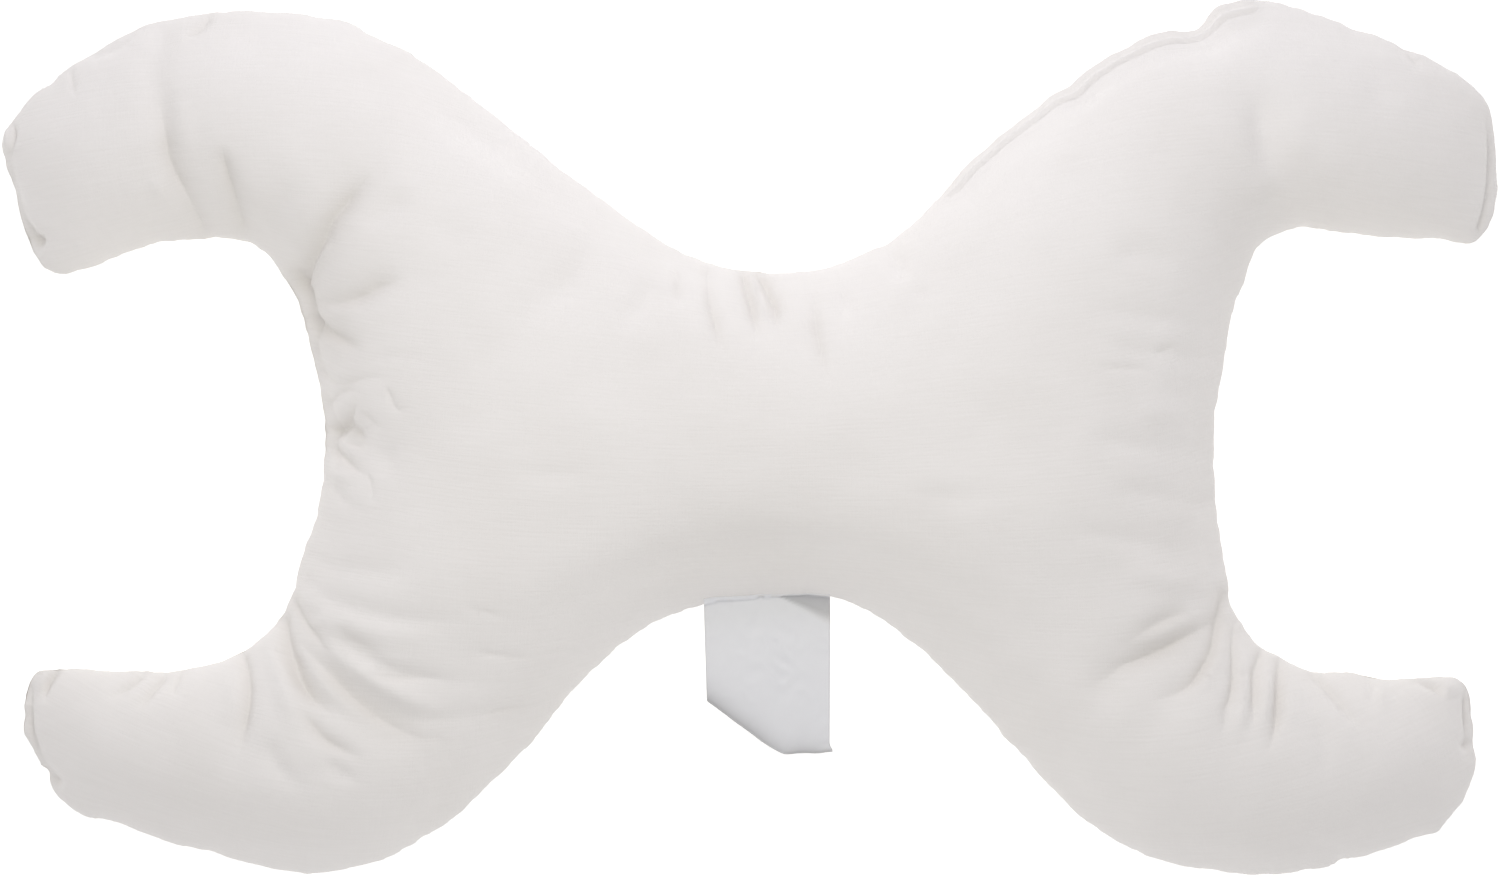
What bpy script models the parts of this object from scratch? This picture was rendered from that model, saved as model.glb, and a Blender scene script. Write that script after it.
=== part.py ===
"""Anti-wrinkle pillow: a filled cotton pillow shaped like a butterfly, lying on its back.

A front and a back panel are joined by one seam all round. Four arms hook away from a narrow
middle, so a hollow opens at each side and an arch at the top and at the bottom. A bare care
label is sewn into the seam at the middle of the bottom arch, and its lower left corner is
folded under. X is the long side, +Y the pillow's top and +Z its face. The origin is under the
middle of the pillow's outline, on the surface that it lies on.

The driving sizes and the tables are in millimetres, and the meshes in metres.
"""

import math
from collections import namedtuple

import bmesh
import bpy
import numpy as np
from mathutils import Vector
from mathutils.geometry import delaunay_2d_cdt

MM = 0.001

# Pillow: outline box, and how the filling stands in it
PILLOW_LENGTH = 686.0
PILLOW_WIDTH = 400.0
BODY_THICKNESS = 96.0
FILL_REACH = 33.0          # how far in from the seam the filling takes to reach its height
CROWN_POWER = 0.75         # 0.5 is round at the seam, 1 is a sharp lens
SEAM_SHARE = 0.42          # height of the seam, as a share of the thickness near it
FRONT_SHARE = 0.56         # of the thickness, how much stands over the seam
BACK_SHARE = 0.50          # and how much hangs under it, before the surface flattens it
NEAR = 60.0                # how far the seam's height looks for the thickness near it
FOLD_ROOM = 0.3            # of the body's thickness, where folds have their full depth

# Spacing of the faceted surface
SEAM_SPACING = 8.5
RING_INSETS = (2.5, 8.0)
FILL_SPACING = 10.8
CURVE_STEPS = 16
RING_CLEARANCE = 0.93      # of its inset, how far a ring's point must be from every edge
GRID_CLEARANCE = 0.6       # of its spacing, how far the grid stays from the last ring
MERGE_DISTANCE = 1e-6

# Care label: a woven ribbon whose root meets the seam of the bottom arch
LABEL_LEFT = -21.0
LABEL_RIGHT = 37.0
LABEL_LENGTH = 80.3
LABEL_THICKNESS = 1.0
LABEL_GAP = 0.4            # between the seam and the root
ARCH_HALF_WIDTH = 88.0     # the part of the bottom arch that the label's root follows
ARCH_LOWEST = -100.0
LABEL_ROOT_SLOPE = 5.0     # degrees below level
LABEL_END_SLOPE = 43.5
LABEL_COLUMNS = 12
LABEL_ROWS = 16
FOLD_LEFT = 50.0           # where the corner's fold meets the left edge, down from the root
FOLD_END = 35.0            # where it meets the bottom edge, across from the left edge
FOLD_RADIUS = 1.6
FOLD_TURN = 172.0          # degrees that the corner is turned under
FOLD_CUTS = 6

# One row for each section across an arm, from the body to the arm's end. The outer edge runs
# along the top or bottom arch and the arm's back, and the inner edge along the side hollow.
Section = namedtuple("Section", "place outer_x outer_y inner_x inner_y")
Corner = namedtuple("Corner", "place x y")

UPPER_RIGHT_ARM = (
    Section("beside the arch", 45.0, 80.0, 212.5, 11.0),
    Section("shoulder", 77.5, 100.0, 215.5, 25.5),
    Section("foot of the slope", 104.5, 127.5, 219.5, 52.0),
    Section("head of the slope", 145.5, 160.0, 226.0, 73.5),
    Section("bend", 166.0, 174.5, 234.5, 90.0),
    Section("hump before the notch", 189.5, 186.0, 247.5, 96.0),
    Section("notch", 204.5, 185.5, 258.5, 97.0),
    Section("past the notch", 215.5, 196.5, 273.0, 94.5),
    Section("crest", 235.0, 200.0, 288.0, 93.0),
    Section("back of the crest", 263.5, 191.5, 303.0, 91.5),
    Section("cheek", 305.5, 177.0, 319.0, 91.0),
)
UPPER_RIGHT_END = (
    Corner("outer corner", 335.0, 158.0),
    Corner("end", 343.0, 127.0),
    Corner("inner corner", 334.0, 90.0),
)
LOWER_RIGHT_ARM = (
    Section("beside the arch", 46.0, -74.5, 213.0, -26.5),
    Section("shoulder", 78.5, -96.0, 215.0, -45.0),
    Section("foot of the slope", 110.5, -129.0, 218.5, -65.0),
    Section("head of the slope", 138.0, -158.5, 223.0, -83.0),
    Section("bend", 164.0, -181.5, 235.0, -97.0),
    Section("hump", 188.0, -193.0, 258.5, -107.5),
    Section("crest", 230.0, -200.0, 275.5, -109.0),
    Section("back of the crest", 268.0, -196.5, 290.0, -112.0),
    Section("cheek", 298.5, -185.5, 312.0, -111.0),
)
LOWER_RIGHT_END = (
    Corner("outer corner", 317.0, -179.5),
    Corner("end, outer part", 329.5, -162.0),
    Corner("end, inner part", 332.0, -138.0),
    Corner("inner corner", 328.0, -112.0),
)
LOWER_LEFT_ARM = (
    Section("beside the arch", -25.5, -77.0, -194.5, -19.5),
    Section("shoulder", -53.5, -90.0, -198.0, -38.0),
    Section("foot of the slope", -82.5, -117.0, -204.5, -56.5),
    Section("head of the slope", -103.0, -142.5, -209.0, -73.5),
    Section("bend", -133.0, -170.0, -221.0, -91.0),
    Section("hump", -166.5, -192.5, -240.5, -103.0),
    Section("crest", -203.5, -199.5, -265.5, -108.0),
    Section("back of the crest", -249.0, -189.5, -291.0, -108.5),
    Section("cheek", -289.5, -176.5, -309.5, -107.5),
)
LOWER_LEFT_END = (
    Corner("outer corner", -318.5, -163.5),
    Corner("end, outer part", -322.5, -152.0),
    Corner("end", -331.5, -135.0),
    Corner("end, inner part", -332.5, -120.5),
    Corner("inner corner", -328.5, -109.5),
)
UPPER_LEFT_ARM = (
    Section("beside the arch", -25.5, 81.5, -195.5, 20.5),
    Section("shoulder", -71.5, 111.0, -200.0, 40.0),
    Section("foot of the slope", -114.5, 145.0, -204.5, 57.0),
    Section("head of the slope", -143.5, 167.0, -211.5, 71.5),
    Section("bend", -168.0, 181.0, -223.5, 87.0),
    Section("hump", -190.5, 191.0, -237.5, 92.0),
    Section("crest", -221.0, 195.0, -256.0, 91.5),
    Section("back of the crest", -245.5, 194.5, -275.0, 89.5),
    Section("cheek", -277.0, 188.0, -293.0, 82.5),
    Section("before the end", -311.5, 169.5, -308.0, 77.5),
)
UPPER_LEFT_END = (
    Corner("outer corner", -332.0, 152.0),
    Corner("point", -343.0, 137.0),
    Corner("end, outer part", -337.5, 115.5),
    Corner("end, inner part", -330.0, 90.0),
    Corner("inner corner", -323.5, 79.5),
)
TOP_ARCH = Corner("top arch", 12.0, 74.5)
RIGHT_WAIST = Corner("right waist", 212.0, -8.0)
BOTTOM_ARCH = Corner("bottom arch", 14.0, -72.0)
LEFT_WAIST = Corner("left waist", -193.5, 1.5)

# The broadest folds of the front panel, a row for each soft trough
Fold = namedtuple("Fold", "place start_x start_y end_x end_y half_width depth")

FRONT_FOLDS = (
    Fold("along the upper left arm", -265.0, 156.0, -250.0, 101.0, 9.0, 3.0),
    Fold("upper left corner, main", -175.0, 116.0, -205.0, 70.0, 9.0, 4.0),
    Fold("upper left corner, lower", -159.0, 72.0, -192.0, 62.0, 8.0, 3.0),
    Fold("left waist", -193.0, 2.0, -167.0, -6.0, 10.0, 5.0),
    Fold("gather under the top arch", -1.0, 74.0, 4.0, 44.0, 8.0, 3.0),
    Fold("dimple in the upper right arm", 231.0, 148.0, 243.0, 126.0, 12.0, 4.0),
    Fold("lower right corner, main", 211.0, -85.0, 159.0, -111.0, 10.0, 4.0),
    Fold("lower right corner, steep", 220.0, -78.0, 186.0, -119.0, 9.0, 4.0),
    Fold("lower right corner, short", 230.0, -105.0, 219.0, -135.0, 8.0, 3.0),
    Fold("lower left corner, upright", -229.0, -104.0, -231.0, -142.0, 8.0, 4.0),
    Fold("lower left corner, steep", -212.0, -89.0, -190.0, -125.0, 8.0, 4.0),
    Fold("lower left corner, main", -196.0, -105.0, -155.0, -135.0, 10.0, 4.0),
)

COTTON_COLOUR = (0.84, 0.82, 0.81, 1.0)
COTTON_ROUGHNESS = 0.85
LABEL_COLOUR = (0.82, 0.825, 0.82, 1.0)
LABEL_ROUGHNESS = 0.5


def clear_scene():
    for obj in list(bpy.data.objects):
        bpy.data.objects.remove(obj, do_unlink=True)


def plain_material(name, colour, roughness):
    material = bpy.data.materials.new(name)
    material.use_nodes = True
    shader = material.node_tree.nodes["Principled BSDF"]
    shader.inputs["Base Color"].default_value = colour
    shader.inputs["Roughness"].default_value = roughness
    shader.inputs["Metallic"].default_value = 0.0
    return material


def outer_edge(arm):
    return [(row.outer_x, row.outer_y) for row in arm]


def inner_edge(arm):
    return [(row.inner_x, row.inner_y) for row in arm]


def corners(end):
    return [(corner.x, corner.y) for corner in end]


def edge_points():
    """The points of the seam, clockwise from the top arch."""
    points = corners([TOP_ARCH])
    points += outer_edge(UPPER_RIGHT_ARM) + corners(UPPER_RIGHT_END)
    points += inner_edge(UPPER_RIGHT_ARM)[::-1] + corners([RIGHT_WAIST])
    points += inner_edge(LOWER_RIGHT_ARM) + corners(LOWER_RIGHT_END)[::-1]
    points += outer_edge(LOWER_RIGHT_ARM)[::-1] + corners([BOTTOM_ARCH])
    points += outer_edge(LOWER_LEFT_ARM) + corners(LOWER_LEFT_END)
    points += inner_edge(LOWER_LEFT_ARM)[::-1] + corners([LEFT_WAIST])
    points += inner_edge(UPPER_LEFT_ARM) + corners(UPPER_LEFT_END)[::-1]
    points += outer_edge(UPPER_LEFT_ARM)[::-1]
    return np.array(points)


def blend(a, b, at_a, at_b, at):
    return ((at_b - at) * a + (at - at_a) * b) / (at_b - at_a)


def smooth_loop(points):
    """A centripetal Catmull-Rom curve through the points, closed on itself."""
    curve = []
    count = len(points)
    for i in range(count):
        p0, p1, p2, p3 = (points[(i + step) % count] for step in (-1, 0, 1, 2))
        t1 = math.sqrt(np.linalg.norm(p1 - p0))
        t2 = t1 + math.sqrt(np.linalg.norm(p2 - p1))
        t3 = t2 + math.sqrt(np.linalg.norm(p3 - p2))
        for t in np.linspace(t1, t2, CURVE_STEPS, endpoint=False):
            a = blend(p0, p1, 0.0, t1, t)
            b = blend(p1, p2, t1, t2, t)
            c = blend(p2, p3, t2, t3, t)
            curve.append(blend(blend(a, b, 0.0, t2, t), blend(b, c, t1, t3, t), t1, t2, t))
    return np.array(curve)


def evenly_spaced(loop, spacing):
    """Points at one spacing along a closed loop."""
    closed = np.vstack([loop, loop[:1]])
    along = np.concatenate([[0.0], np.cumsum(np.linalg.norm(np.diff(closed, axis=0), axis=1))])
    places = np.linspace(0.0, along[-1], round(along[-1] / spacing), endpoint=False)
    return np.column_stack([np.interp(places, along, closed[:, axis]) for axis in (0, 1)])


def seam_loop():
    """The seam seen from the front, centred and brought to the pillow's length and width."""
    loop = evenly_spaced(smooth_loop(edge_points()), SEAM_SPACING)
    low, high = loop.min(axis=0), loop.max(axis=0)
    size = np.array([PILLOW_LENGTH, PILLOW_WIDTH])
    return (loop - (low + high) / 2) * size / (high - low)


def distance_to_segments(points, starts, ends):
    """The distance from each point to the nearest of the segments."""
    runs = ends - starts
    to_points = points[:, None, :] - starts[None, :, :]
    share = (to_points * runs).sum(axis=2) / (runs * runs).sum(axis=1)
    nearest = starts + np.clip(share, 0.0, 1.0)[:, :, None] * runs
    return np.linalg.norm(points[:, None, :] - nearest, axis=2).min(axis=1)


def inside(points, loop):
    """Whether each point is inside the closed loop, by counting the edges to its right."""
    x, y = points[:, 0, None], points[:, 1, None]
    x1, y1 = loop[:, 0], loop[:, 1]
    x2, y2 = np.roll(loop, -1, axis=0).T
    crosses = (y1 > y) != (y2 > y)
    rise = np.where(y2 == y1, 1.0, y2 - y1)
    to_right = x < x1 + (y - y1) * (x2 - x1) / rise
    return (crosses & to_right).sum(axis=1) % 2 == 1


def inset_ring(loop, inset):
    """The loop moved in by one distance, without the points that come too near a far edge."""
    along = np.roll(loop, -1, axis=0) - np.roll(loop, 1, axis=0)
    inward = np.column_stack([along[:, 1], -along[:, 0]])
    ring = loop + inset * inward / np.linalg.norm(inward, axis=1)[:, None]
    clear = distance_to_segments(ring, loop, np.roll(loop, -1, axis=0)) > RING_CLEARANCE * inset
    return ring[clear & inside(ring, loop)]


def fill_grid(loop):
    """Rows of evenly spread points, clear of the inset rings."""
    row_height = FILL_SPACING * math.sqrt(0.75)
    half_length, half_width = PILLOW_LENGTH / 2, PILLOW_WIDTH / 2
    points = []
    for row, y in enumerate(np.arange(-half_width, half_width, row_height)):
        shift = FILL_SPACING / 2 * (row % 2)
        points += [(x + shift, y) for x in np.arange(-half_length, half_length, FILL_SPACING)]
    points = np.array(points)
    points = points[inside(points, loop)]
    away = distance_to_segments(points, loop, np.roll(loop, -1, axis=0))
    return points[away > RING_INSETS[-1] + GRID_CLEARANCE * FILL_SPACING]


def panel_triangles(loop):
    """The flat panel as points, the seam's first, and triangles that face up."""
    rings = [inset_ring(loop, inset) for inset in RING_INSETS]
    points = np.vstack([loop, *rings, fill_grid(loop)])
    outline = list(range(len(loop)))
    flat = delaunay_2d_cdt([Vector(p) for p in points], [], [outline], 1, MERGE_DISTANCE)
    kept, faces = flat[0], flat[2]
    kept = np.array([tuple(p) for p in kept])
    faces = np.array(faces)
    a, b, c = (kept[faces[:, i]] for i in range(3))
    turn = (b[:, 0] - a[:, 0]) * (c[:, 1] - a[:, 1]) - (b[:, 1] - a[:, 1]) * (c[:, 0] - a[:, 0])
    faces[turn < 0] = faces[turn < 0][:, ::-1]
    return kept, faces


def stiffness_and_area(points, faces):
    """How each point of a triangle mesh is tied to its neighbours, and the area it stands for."""
    count = len(points)
    ties = np.zeros((count, count))
    area = np.zeros(count)
    for i in range(3):
        here, left, right = (faces[:, (i + step) % 3] for step in range(3))
        to_left, to_right = points[left] - points[here], points[right] - points[here]
        doubled = to_left[:, 0] * to_right[:, 1] - to_left[:, 1] * to_right[:, 0]
        weight = (to_left * to_right).sum(axis=1) / (2 * doubled)
        for j, k in ((left, right), (right, left)):
            np.add.at(ties, (j, k), -weight)
            np.add.at(ties, (j, j), weight)
        np.add.at(area, here, doubled / 6)
    return ties, area


def filled_thickness(points, faces, seam_count):
    """The pillow's thickness over each point: none at the seam, and full in its widest part.

    The height is that of a skin held at the seam, pushed up evenly and held back by a spring
    under it, so wide parts level off and narrow arms stay lower.
    """
    ties, area = stiffness_and_area(points, faces)
    system = ties + np.diag(area / FILL_REACH**2)
    free = np.arange(seam_count, len(points))
    height = np.zeros(len(points))
    height[free] = np.linalg.solve(system[np.ix_(free, free)], area[free])
    return BODY_THICKNESS * (height / height.max()) ** CROWN_POWER


def seam_level(points, thickness):
    """The height that the seam would have at each point, from the thickness near it."""
    apart = np.linalg.norm(points[:, None, :] - points[None, :, :], axis=2)
    weight = np.exp(-((apart / NEAR) ** 2)) * thickness**4
    return SEAM_SHARE * (weight @ thickness) / weight.sum(axis=1)


def fold_depth(points):
    depth = np.zeros(len(points))
    for fold in FRONT_FOLDS:
        start = np.array([[fold.start_x, fold.start_y]])
        end = np.array([[fold.end_x, fold.end_y]])
        away = distance_to_segments(points, start, end)
        depth = np.maximum(depth, fold.depth * np.exp(-((away / fold.half_width) ** 2)))
    return depth


def pillow_heights(points, faces, seam_count):
    """The heights of the front and of the back over each point."""
    thickness = filled_thickness(points, faces, seam_count)
    level = seam_level(points, thickness)
    room = np.minimum(1.0, thickness / (FOLD_ROOM * BODY_THICKNESS))
    front = level + FRONT_SHARE * thickness - room * fold_depth(points)
    back = np.maximum(0.0, level - BACK_SHARE * thickness)
    return front, back


def build_pillow(loop):
    """One closed surface: the front and the back panel share the seam's points."""
    points, faces = panel_triangles(loop)
    seam_count = len(loop)
    front, back = pillow_heights(points, faces, seam_count)
    mesh = bpy.data.meshes.new("pillow")
    shape = bmesh.new()
    front_verts = [shape.verts.new((x * MM, y * MM, z * MM)) for (x, y), z in zip(points, front)]
    back_verts = front_verts[:seam_count]
    for (x, y), z in zip(points[seam_count:], back[seam_count:]):
        back_verts.append(shape.verts.new((x * MM, y * MM, z * MM)))
    for face in faces:
        shape.faces.new([front_verts[i] for i in face])
        shape.faces.new([back_verts[i] for i in face[::-1]])
    shape.to_mesh(mesh)
    shape.free()
    pillow = bpy.data.objects.new("pillow", mesh)
    bpy.context.scene.collection.objects.link(pillow)
    mesh.materials.append(plain_material("cotton", COTTON_COLOUR, COTTON_ROUGHNESS))
    mesh.shade_smooth()
    return front[:seam_count]


def arch_edge(loop, x):
    """The Y of the bottom arch's seam at X."""
    near = loop[(loop[:, 1] < 0) & (np.abs(loop[:, 0] - BOTTOM_ARCH.x) < ARCH_HALF_WIDTH)]
    near = near[near[:, 1] > ARCH_LOWEST]
    order = np.argsort(near[:, 0])
    return float(np.interp(x, near[order, 0], near[order, 1]))


def drooped(down):
    """How far out and how far down the ribbon is, after a length of it, as it droops."""
    root, end = math.radians(LABEL_ROOT_SLOPE), math.radians(LABEL_END_SLOPE)
    bend = (end - root) / LABEL_LENGTH
    slope = root + bend * down
    out = (math.sin(slope) - math.sin(root)) / bend
    fall = (math.cos(root) - math.cos(slope)) / bend
    return out, fall, slope


def turned_under(past):
    """How far past its fold line, and how far under the ribbon, a point of the corner lies."""
    if past <= 0.0:
        return past, 0.0
    turn = math.radians(FOLD_TURN)
    on_bend = min(past, FOLD_RADIUS * turn)
    flat = past - on_bend
    angle = on_bend / FOLD_RADIUS
    beyond = FOLD_RADIUS * math.sin(angle) + flat * math.cos(turn)
    under = FOLD_RADIUS * (1 - math.cos(angle)) + flat * math.sin(turn)
    return beyond, under


def label_grid():
    """The flat ribbon: X across from its left edge, and Y down from its root."""
    width = LABEL_RIGHT - LABEL_LEFT
    shape = bmesh.new()
    bmesh.ops.create_grid(shape, x_segments=LABEL_COLUMNS, y_segments=LABEL_ROWS, size=0.5)
    for vert in shape.verts:
        vert.co = Vector(((vert.co.x + 0.5) * width, (vert.co.y + 0.5) * LABEL_LENGTH, 0.0))
    return shape


def fold_line():
    """A point on the corner's fold line, and the flat direction from it to the corner."""
    on_left = Vector((0.0, FOLD_LEFT, 0.0))
    on_end = Vector((FOLD_END, LABEL_LENGTH, 0.0))
    run = (on_end - on_left).normalized()
    return on_left, Vector((-run.y, run.x, 0.0))


def cut_along_fold(shape, point, to_corner):
    """Adds edges along the fold, so that the bend is round and the creased corner stays flat."""
    bend_length = FOLD_RADIUS * math.radians(FOLD_TURN)
    for cut in range(FOLD_CUTS + 1):
        bmesh.ops.bisect_plane(
            shape,
            geom=shape.verts[:] + shape.edges[:] + shape.faces[:],
            plane_co=point + to_corner * (bend_length * cut / FOLD_CUTS),
            plane_no=to_corner,
        )


def build_label(loop, seam_height):
    shape = label_grid()
    point, to_corner = fold_line()
    cut_along_fold(shape, point, to_corner)
    root_y = BOTTOM_ARCH.y
    for vert in shape.verts:
        across = LABEL_LEFT + vert.co.x
        seam_gap = root_y - arch_edge(loop, across) + LABEL_GAP
        flat = Vector((vert.co.x, vert.co.y, 0.0))
        beyond, under = turned_under((flat - point).dot(to_corner))
        flat += to_corner * (beyond - (flat - point).dot(to_corner))
        down = seam_gap + flat.y * (1 - seam_gap / LABEL_LENGTH)
        out, fall, slope = drooped(down)
        vert.co = Vector((
            LABEL_LEFT + flat.x,
            root_y - out + under * math.sin(slope),
            seam_height - fall - under * math.cos(slope),
        )) * MM
    bmesh.ops.recalc_face_normals(shape, faces=shape.faces)
    mesh = bpy.data.meshes.new("care_label")
    shape.to_mesh(mesh)
    shape.free()
    label = bpy.data.objects.new("care_label", mesh)
    bpy.context.scene.collection.objects.link(label)
    mesh.materials.append(plain_material("label_ribbon", LABEL_COLOUR, LABEL_ROUGHNESS))
    thicken = label.modifiers.new("ribbon thickness", "SOLIDIFY")
    thicken.thickness = LABEL_THICKNESS * MM
    thicken.offset = 0.0
    thicken.use_even_offset = True


def main():
    clear_scene()
    loop = seam_loop()
    heights = build_pillow(loop)
    at_label = np.argmin(np.linalg.norm(loop - [BOTTOM_ARCH.x, BOTTOM_ARCH.y], axis=1))
    build_label(loop, float(heights[at_label]))


main()
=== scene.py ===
"""Looks of the anti-wrinkle pillow: filled cotton with listed creases, and its bare label."""

import math
from collections import namedtuple

import bmesh
import bpy
import numpy as np
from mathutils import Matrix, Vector, kdtree, noise
from mathutils.bvhtree import BVHTree
from mathutils.geometry import delaunay_2d_cdt


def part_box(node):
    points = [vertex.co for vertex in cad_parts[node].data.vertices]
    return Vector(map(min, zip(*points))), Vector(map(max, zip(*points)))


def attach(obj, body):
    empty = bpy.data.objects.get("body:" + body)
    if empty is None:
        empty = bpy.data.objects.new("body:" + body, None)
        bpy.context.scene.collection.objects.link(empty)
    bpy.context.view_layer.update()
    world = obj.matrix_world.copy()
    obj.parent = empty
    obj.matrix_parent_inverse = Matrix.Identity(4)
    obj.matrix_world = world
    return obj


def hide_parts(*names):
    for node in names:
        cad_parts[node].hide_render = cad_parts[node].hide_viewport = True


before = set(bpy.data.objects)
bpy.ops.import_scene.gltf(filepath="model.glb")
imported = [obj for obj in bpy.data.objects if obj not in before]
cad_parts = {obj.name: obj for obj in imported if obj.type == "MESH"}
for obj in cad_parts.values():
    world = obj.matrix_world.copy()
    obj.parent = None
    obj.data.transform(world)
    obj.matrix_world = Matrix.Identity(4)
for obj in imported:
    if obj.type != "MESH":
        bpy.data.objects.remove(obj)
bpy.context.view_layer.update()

MM = 0.001

# Photograph's frame, and the camera high over the middle of the pillow
PHOTO_WIDTH_PX = 1500
PILLOW_WIDTH_PX = 1496
PILLOW_MIDDLE_PX = (749.5, 437.25)
PHOTO_MIDDLE_PX = (750.0, 438.0)
CAMERA_HEIGHT = 2.6
SEAM_HEIGHT = 0.034
SENSOR = 36.0

# Lights, aimed at the middle of the pillow, the room's light and the floor
AreaLight = namedtuple("AreaLight", "name place size colour watts")

AREA_LIGHTS = (
    AreaLight("key light", (-0.03, 0.66, 0.68), (0.5, 0.3), (0.89, 0.87, 1.0), 1.6),
    AreaLight("top light", (-0.06, 0.12, 0.85), (0.5, 0.4), (1.0, 1.0, 0.84), 1.35),
)
ROOM_COLOUR = (0.985, 0.975, 1.0, 1.0)
ROOM_STRENGTH = 0.606
FLOOR_SIZE = 14.0
FLOOR_COLOUR = (0.94, 0.94, 0.94, 1.0)
FLOOR_ROUGHNESS = 0.9
FLOOR_GLOW = (1.0, 1.0, 0.96, 1.0)
FLOOR_GLOW_STRENGTH = 0.50

# Base, panels and filling
MERGE_DISTANCE = 1e-6
GRID_PRECISION = 1e-7
BASE_FLAT = 0.00002
BASE_SPACING = 0.016
BASE_CLEARANCE = 0.6 * BASE_SPACING
ON_BASE = 0.0004
FACES_UP = 1e-4
CRISP_OWN_SHARE = 4 / 6
CRISP_NEXT_SHARE = 1 / 6
PANEL_GAP = 0.01
CLOTH_QUALITY = 6
CLOTH_MASS = 0.15
CLOTH_STIFFNESS = 12.0
CLOTH_BENDING = 0.3
FILL_PRESSURE = 4.0
FILL_FRAMES = 20
MOST_SWELL = 0.006

# Seam: its stitched groove, the puckers that cross it, and the filling's lumps
GROOVE_DEPTH = 0.0009
GROOVE_WIDTH = 0.0012
GROOVE_RUN = 0.012
GROOVE_UNEVEN = 0.6
GROOVE_SEED = 3.0
# How far from the seam a dark line of painted shade reaches, for the shade of its groove and steep edge
SEAM_SHADE_REACH = 0.0014
FINE_PUCKER = 0.00045
FINE_PUCKER_RUN = 0.0045
FINE_PUCKER_REACH = 0.006
FINE_PUCKER_SEED = 18.0
BROAD_PUCKER = 0.0008
BROAD_PUCKER_RUN = 0.012
BROAD_PUCKER_REACH = 0.015
BROAD_PUCKER_SEED = 29.0
LUMP_HEIGHT = 0.0009
LUMP_SIZE = 0.045
SMALL_LUMP_HEIGHT = 0.6 * LUMP_HEIGHT
SMALL_LUMP_SIZE = 0.4 * LUMP_SIZE
SMALL_LUMP_SEED = 5.0
LUMP_FADE = 0.02
BASE_LUMP_SHARE = 0.6

# Outline: how far the filling pushes it past the solid, and how far in the cloth follows
EDGE_FULLNESS = 0.0014
EDGE_SCALLOP = 0.0005
EDGE_SCALLOP_RUN = 0.011
EDGE_SCALLOP_SEED = 47.0
EDGE_FOLLOW = 0.020

# Seam rolls: the axis that the seam turns about, how far from it the cloth follows, and the
# ridge and the ditch that draw the rolled strip's inner edge
ROLL_AXIS_INSET = 0.018
ROLL_FULL = 0.010
ROLL_REACH = 0.030
ROLL_FADE = 0.014
ROLL_LINE_REACH = 0.015
ROLL_LINE_FULL = 0.6 * ROLL_LINE_REACH
ROLL_RIDGE_IN = 0.0066
ROLL_RIDGE = 0.0008
ROLL_RIDGE_WIDTH = 0.0010
ROLL_DITCH_IN = 0.0088
ROLL_DITCH = 0.0010
ROLL_DITCH_WIDTH = 0.0009
# Painted shade over the rolled strip and in its ditch, as a share of the cotton's darker colour
ROLL_SHADE = 0.25

# Triangles that the pillow is thinned to, and the heights between which its back gives them up
MOST_TRIANGLES = 190000
BACK_LOW = 0.001
BACK_HIGH = 0.8 * SEAM_HEIGHT

# Label, in millimetres and degrees: across is from its left edge, and down is from its root.
# Its dip by the seam, crumpled middle, wavy lower half, bent end and curled tip follow.
LABEL_LEFT = -21.0
LABEL_WIDTH = 58.0
LABEL_LENGTH = 80.3
LABEL_THICKNESS = 0.35
LABEL_CELL = 1.0
LABEL_ROOT_IN = 0.25
ROOT_FOLLOW = 0.55
LABEL_CLEAR = 0.4
LOOK_DOWN_FROM = 168.0
LABEL_ROOT_SLOPE = 5.0
LABEL_END_SLOPE = 29.0
FOLD_LEFT = 47.4
FOLD_END = 38.0
FOLD_RADIUS = 2.8
FOLD_TURN = 172.0
FOLD_CUTS = 6
DIP_START = 33.0
DIP_END = 15.0
DIP_DEPTH = 5.0
DIP_FLOOR = (0.15, 0.62)
LEAST_DIP = 0.1
CRUMPLE_DEPTH = 0.42
CRUMPLE_SIZE = 8.0
CRUMPLE_SEED = 2.5
CRUMPLE_SHARPNESS = 3
CRUMPLE_ALL_OVER = 0.35
CRUMPLE_IN_MIDDLE = 1.2
CRUMPLE_PLACE = (33.0, 27.0)
CRUMPLE_REACH = (15.0, 17.0)
WAVE_DEPTH = 0.9
WAVE_LENGTH = 26.0
WAVE_START = 56.0
END_BEND_DROP = 3.0
END_BEND_REACH = 10.0
CURL_DROP = 3.0
CURL_REACH = 9.0
LEFT_SLANT = 2.2
RIGHT_FLARE = 1.5
RIGHT_FLARE_RUN = 9.0
# Painted shade: in the dip under the pillow's edge, and fading in from the bent end and the folded corner
DIP_SHADE = 0.5
EDGE_SHADE = 1.0
EDGE_SHADE_REACH = 4.2

# Cotton: its colours, the scales of its thick yarns and clouds, and how far each and the painted shade
# darken it
COTTON_LIGHT = (0.893, 0.868, 0.848, 1.0)
COTTON_SHADE = (0.735, 0.705, 0.665, 1.0)
COTTON_ROUGHNESS = 0.88
COTTON_SHEEN = 0.12
COTTON_SHEEN_ROUGHNESS = 0.5
YARN_PITCH = 0.00045
YARN_HEIGHT = 0.00010
YARN_STRENGTH = 0.35
SLUB_SCALE = (45.0, 900.0, 1.0)
SLUB_MIDDLE = 0.42
SLUB_TINT = 0.28
WARP_SCALE = (900.0, 60.0, 1.0)
WARP_SHARE = 0.6
THICK_YARN_HEIGHT = 0.00035
THICK_YARN_STRENGTH = 0.5
CLOUD_SCALE = 14.0
CLOUD_MIDDLE = 0.40
CLOUD_TINT = 0.45
SHADE_TINT = 0.8
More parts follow.
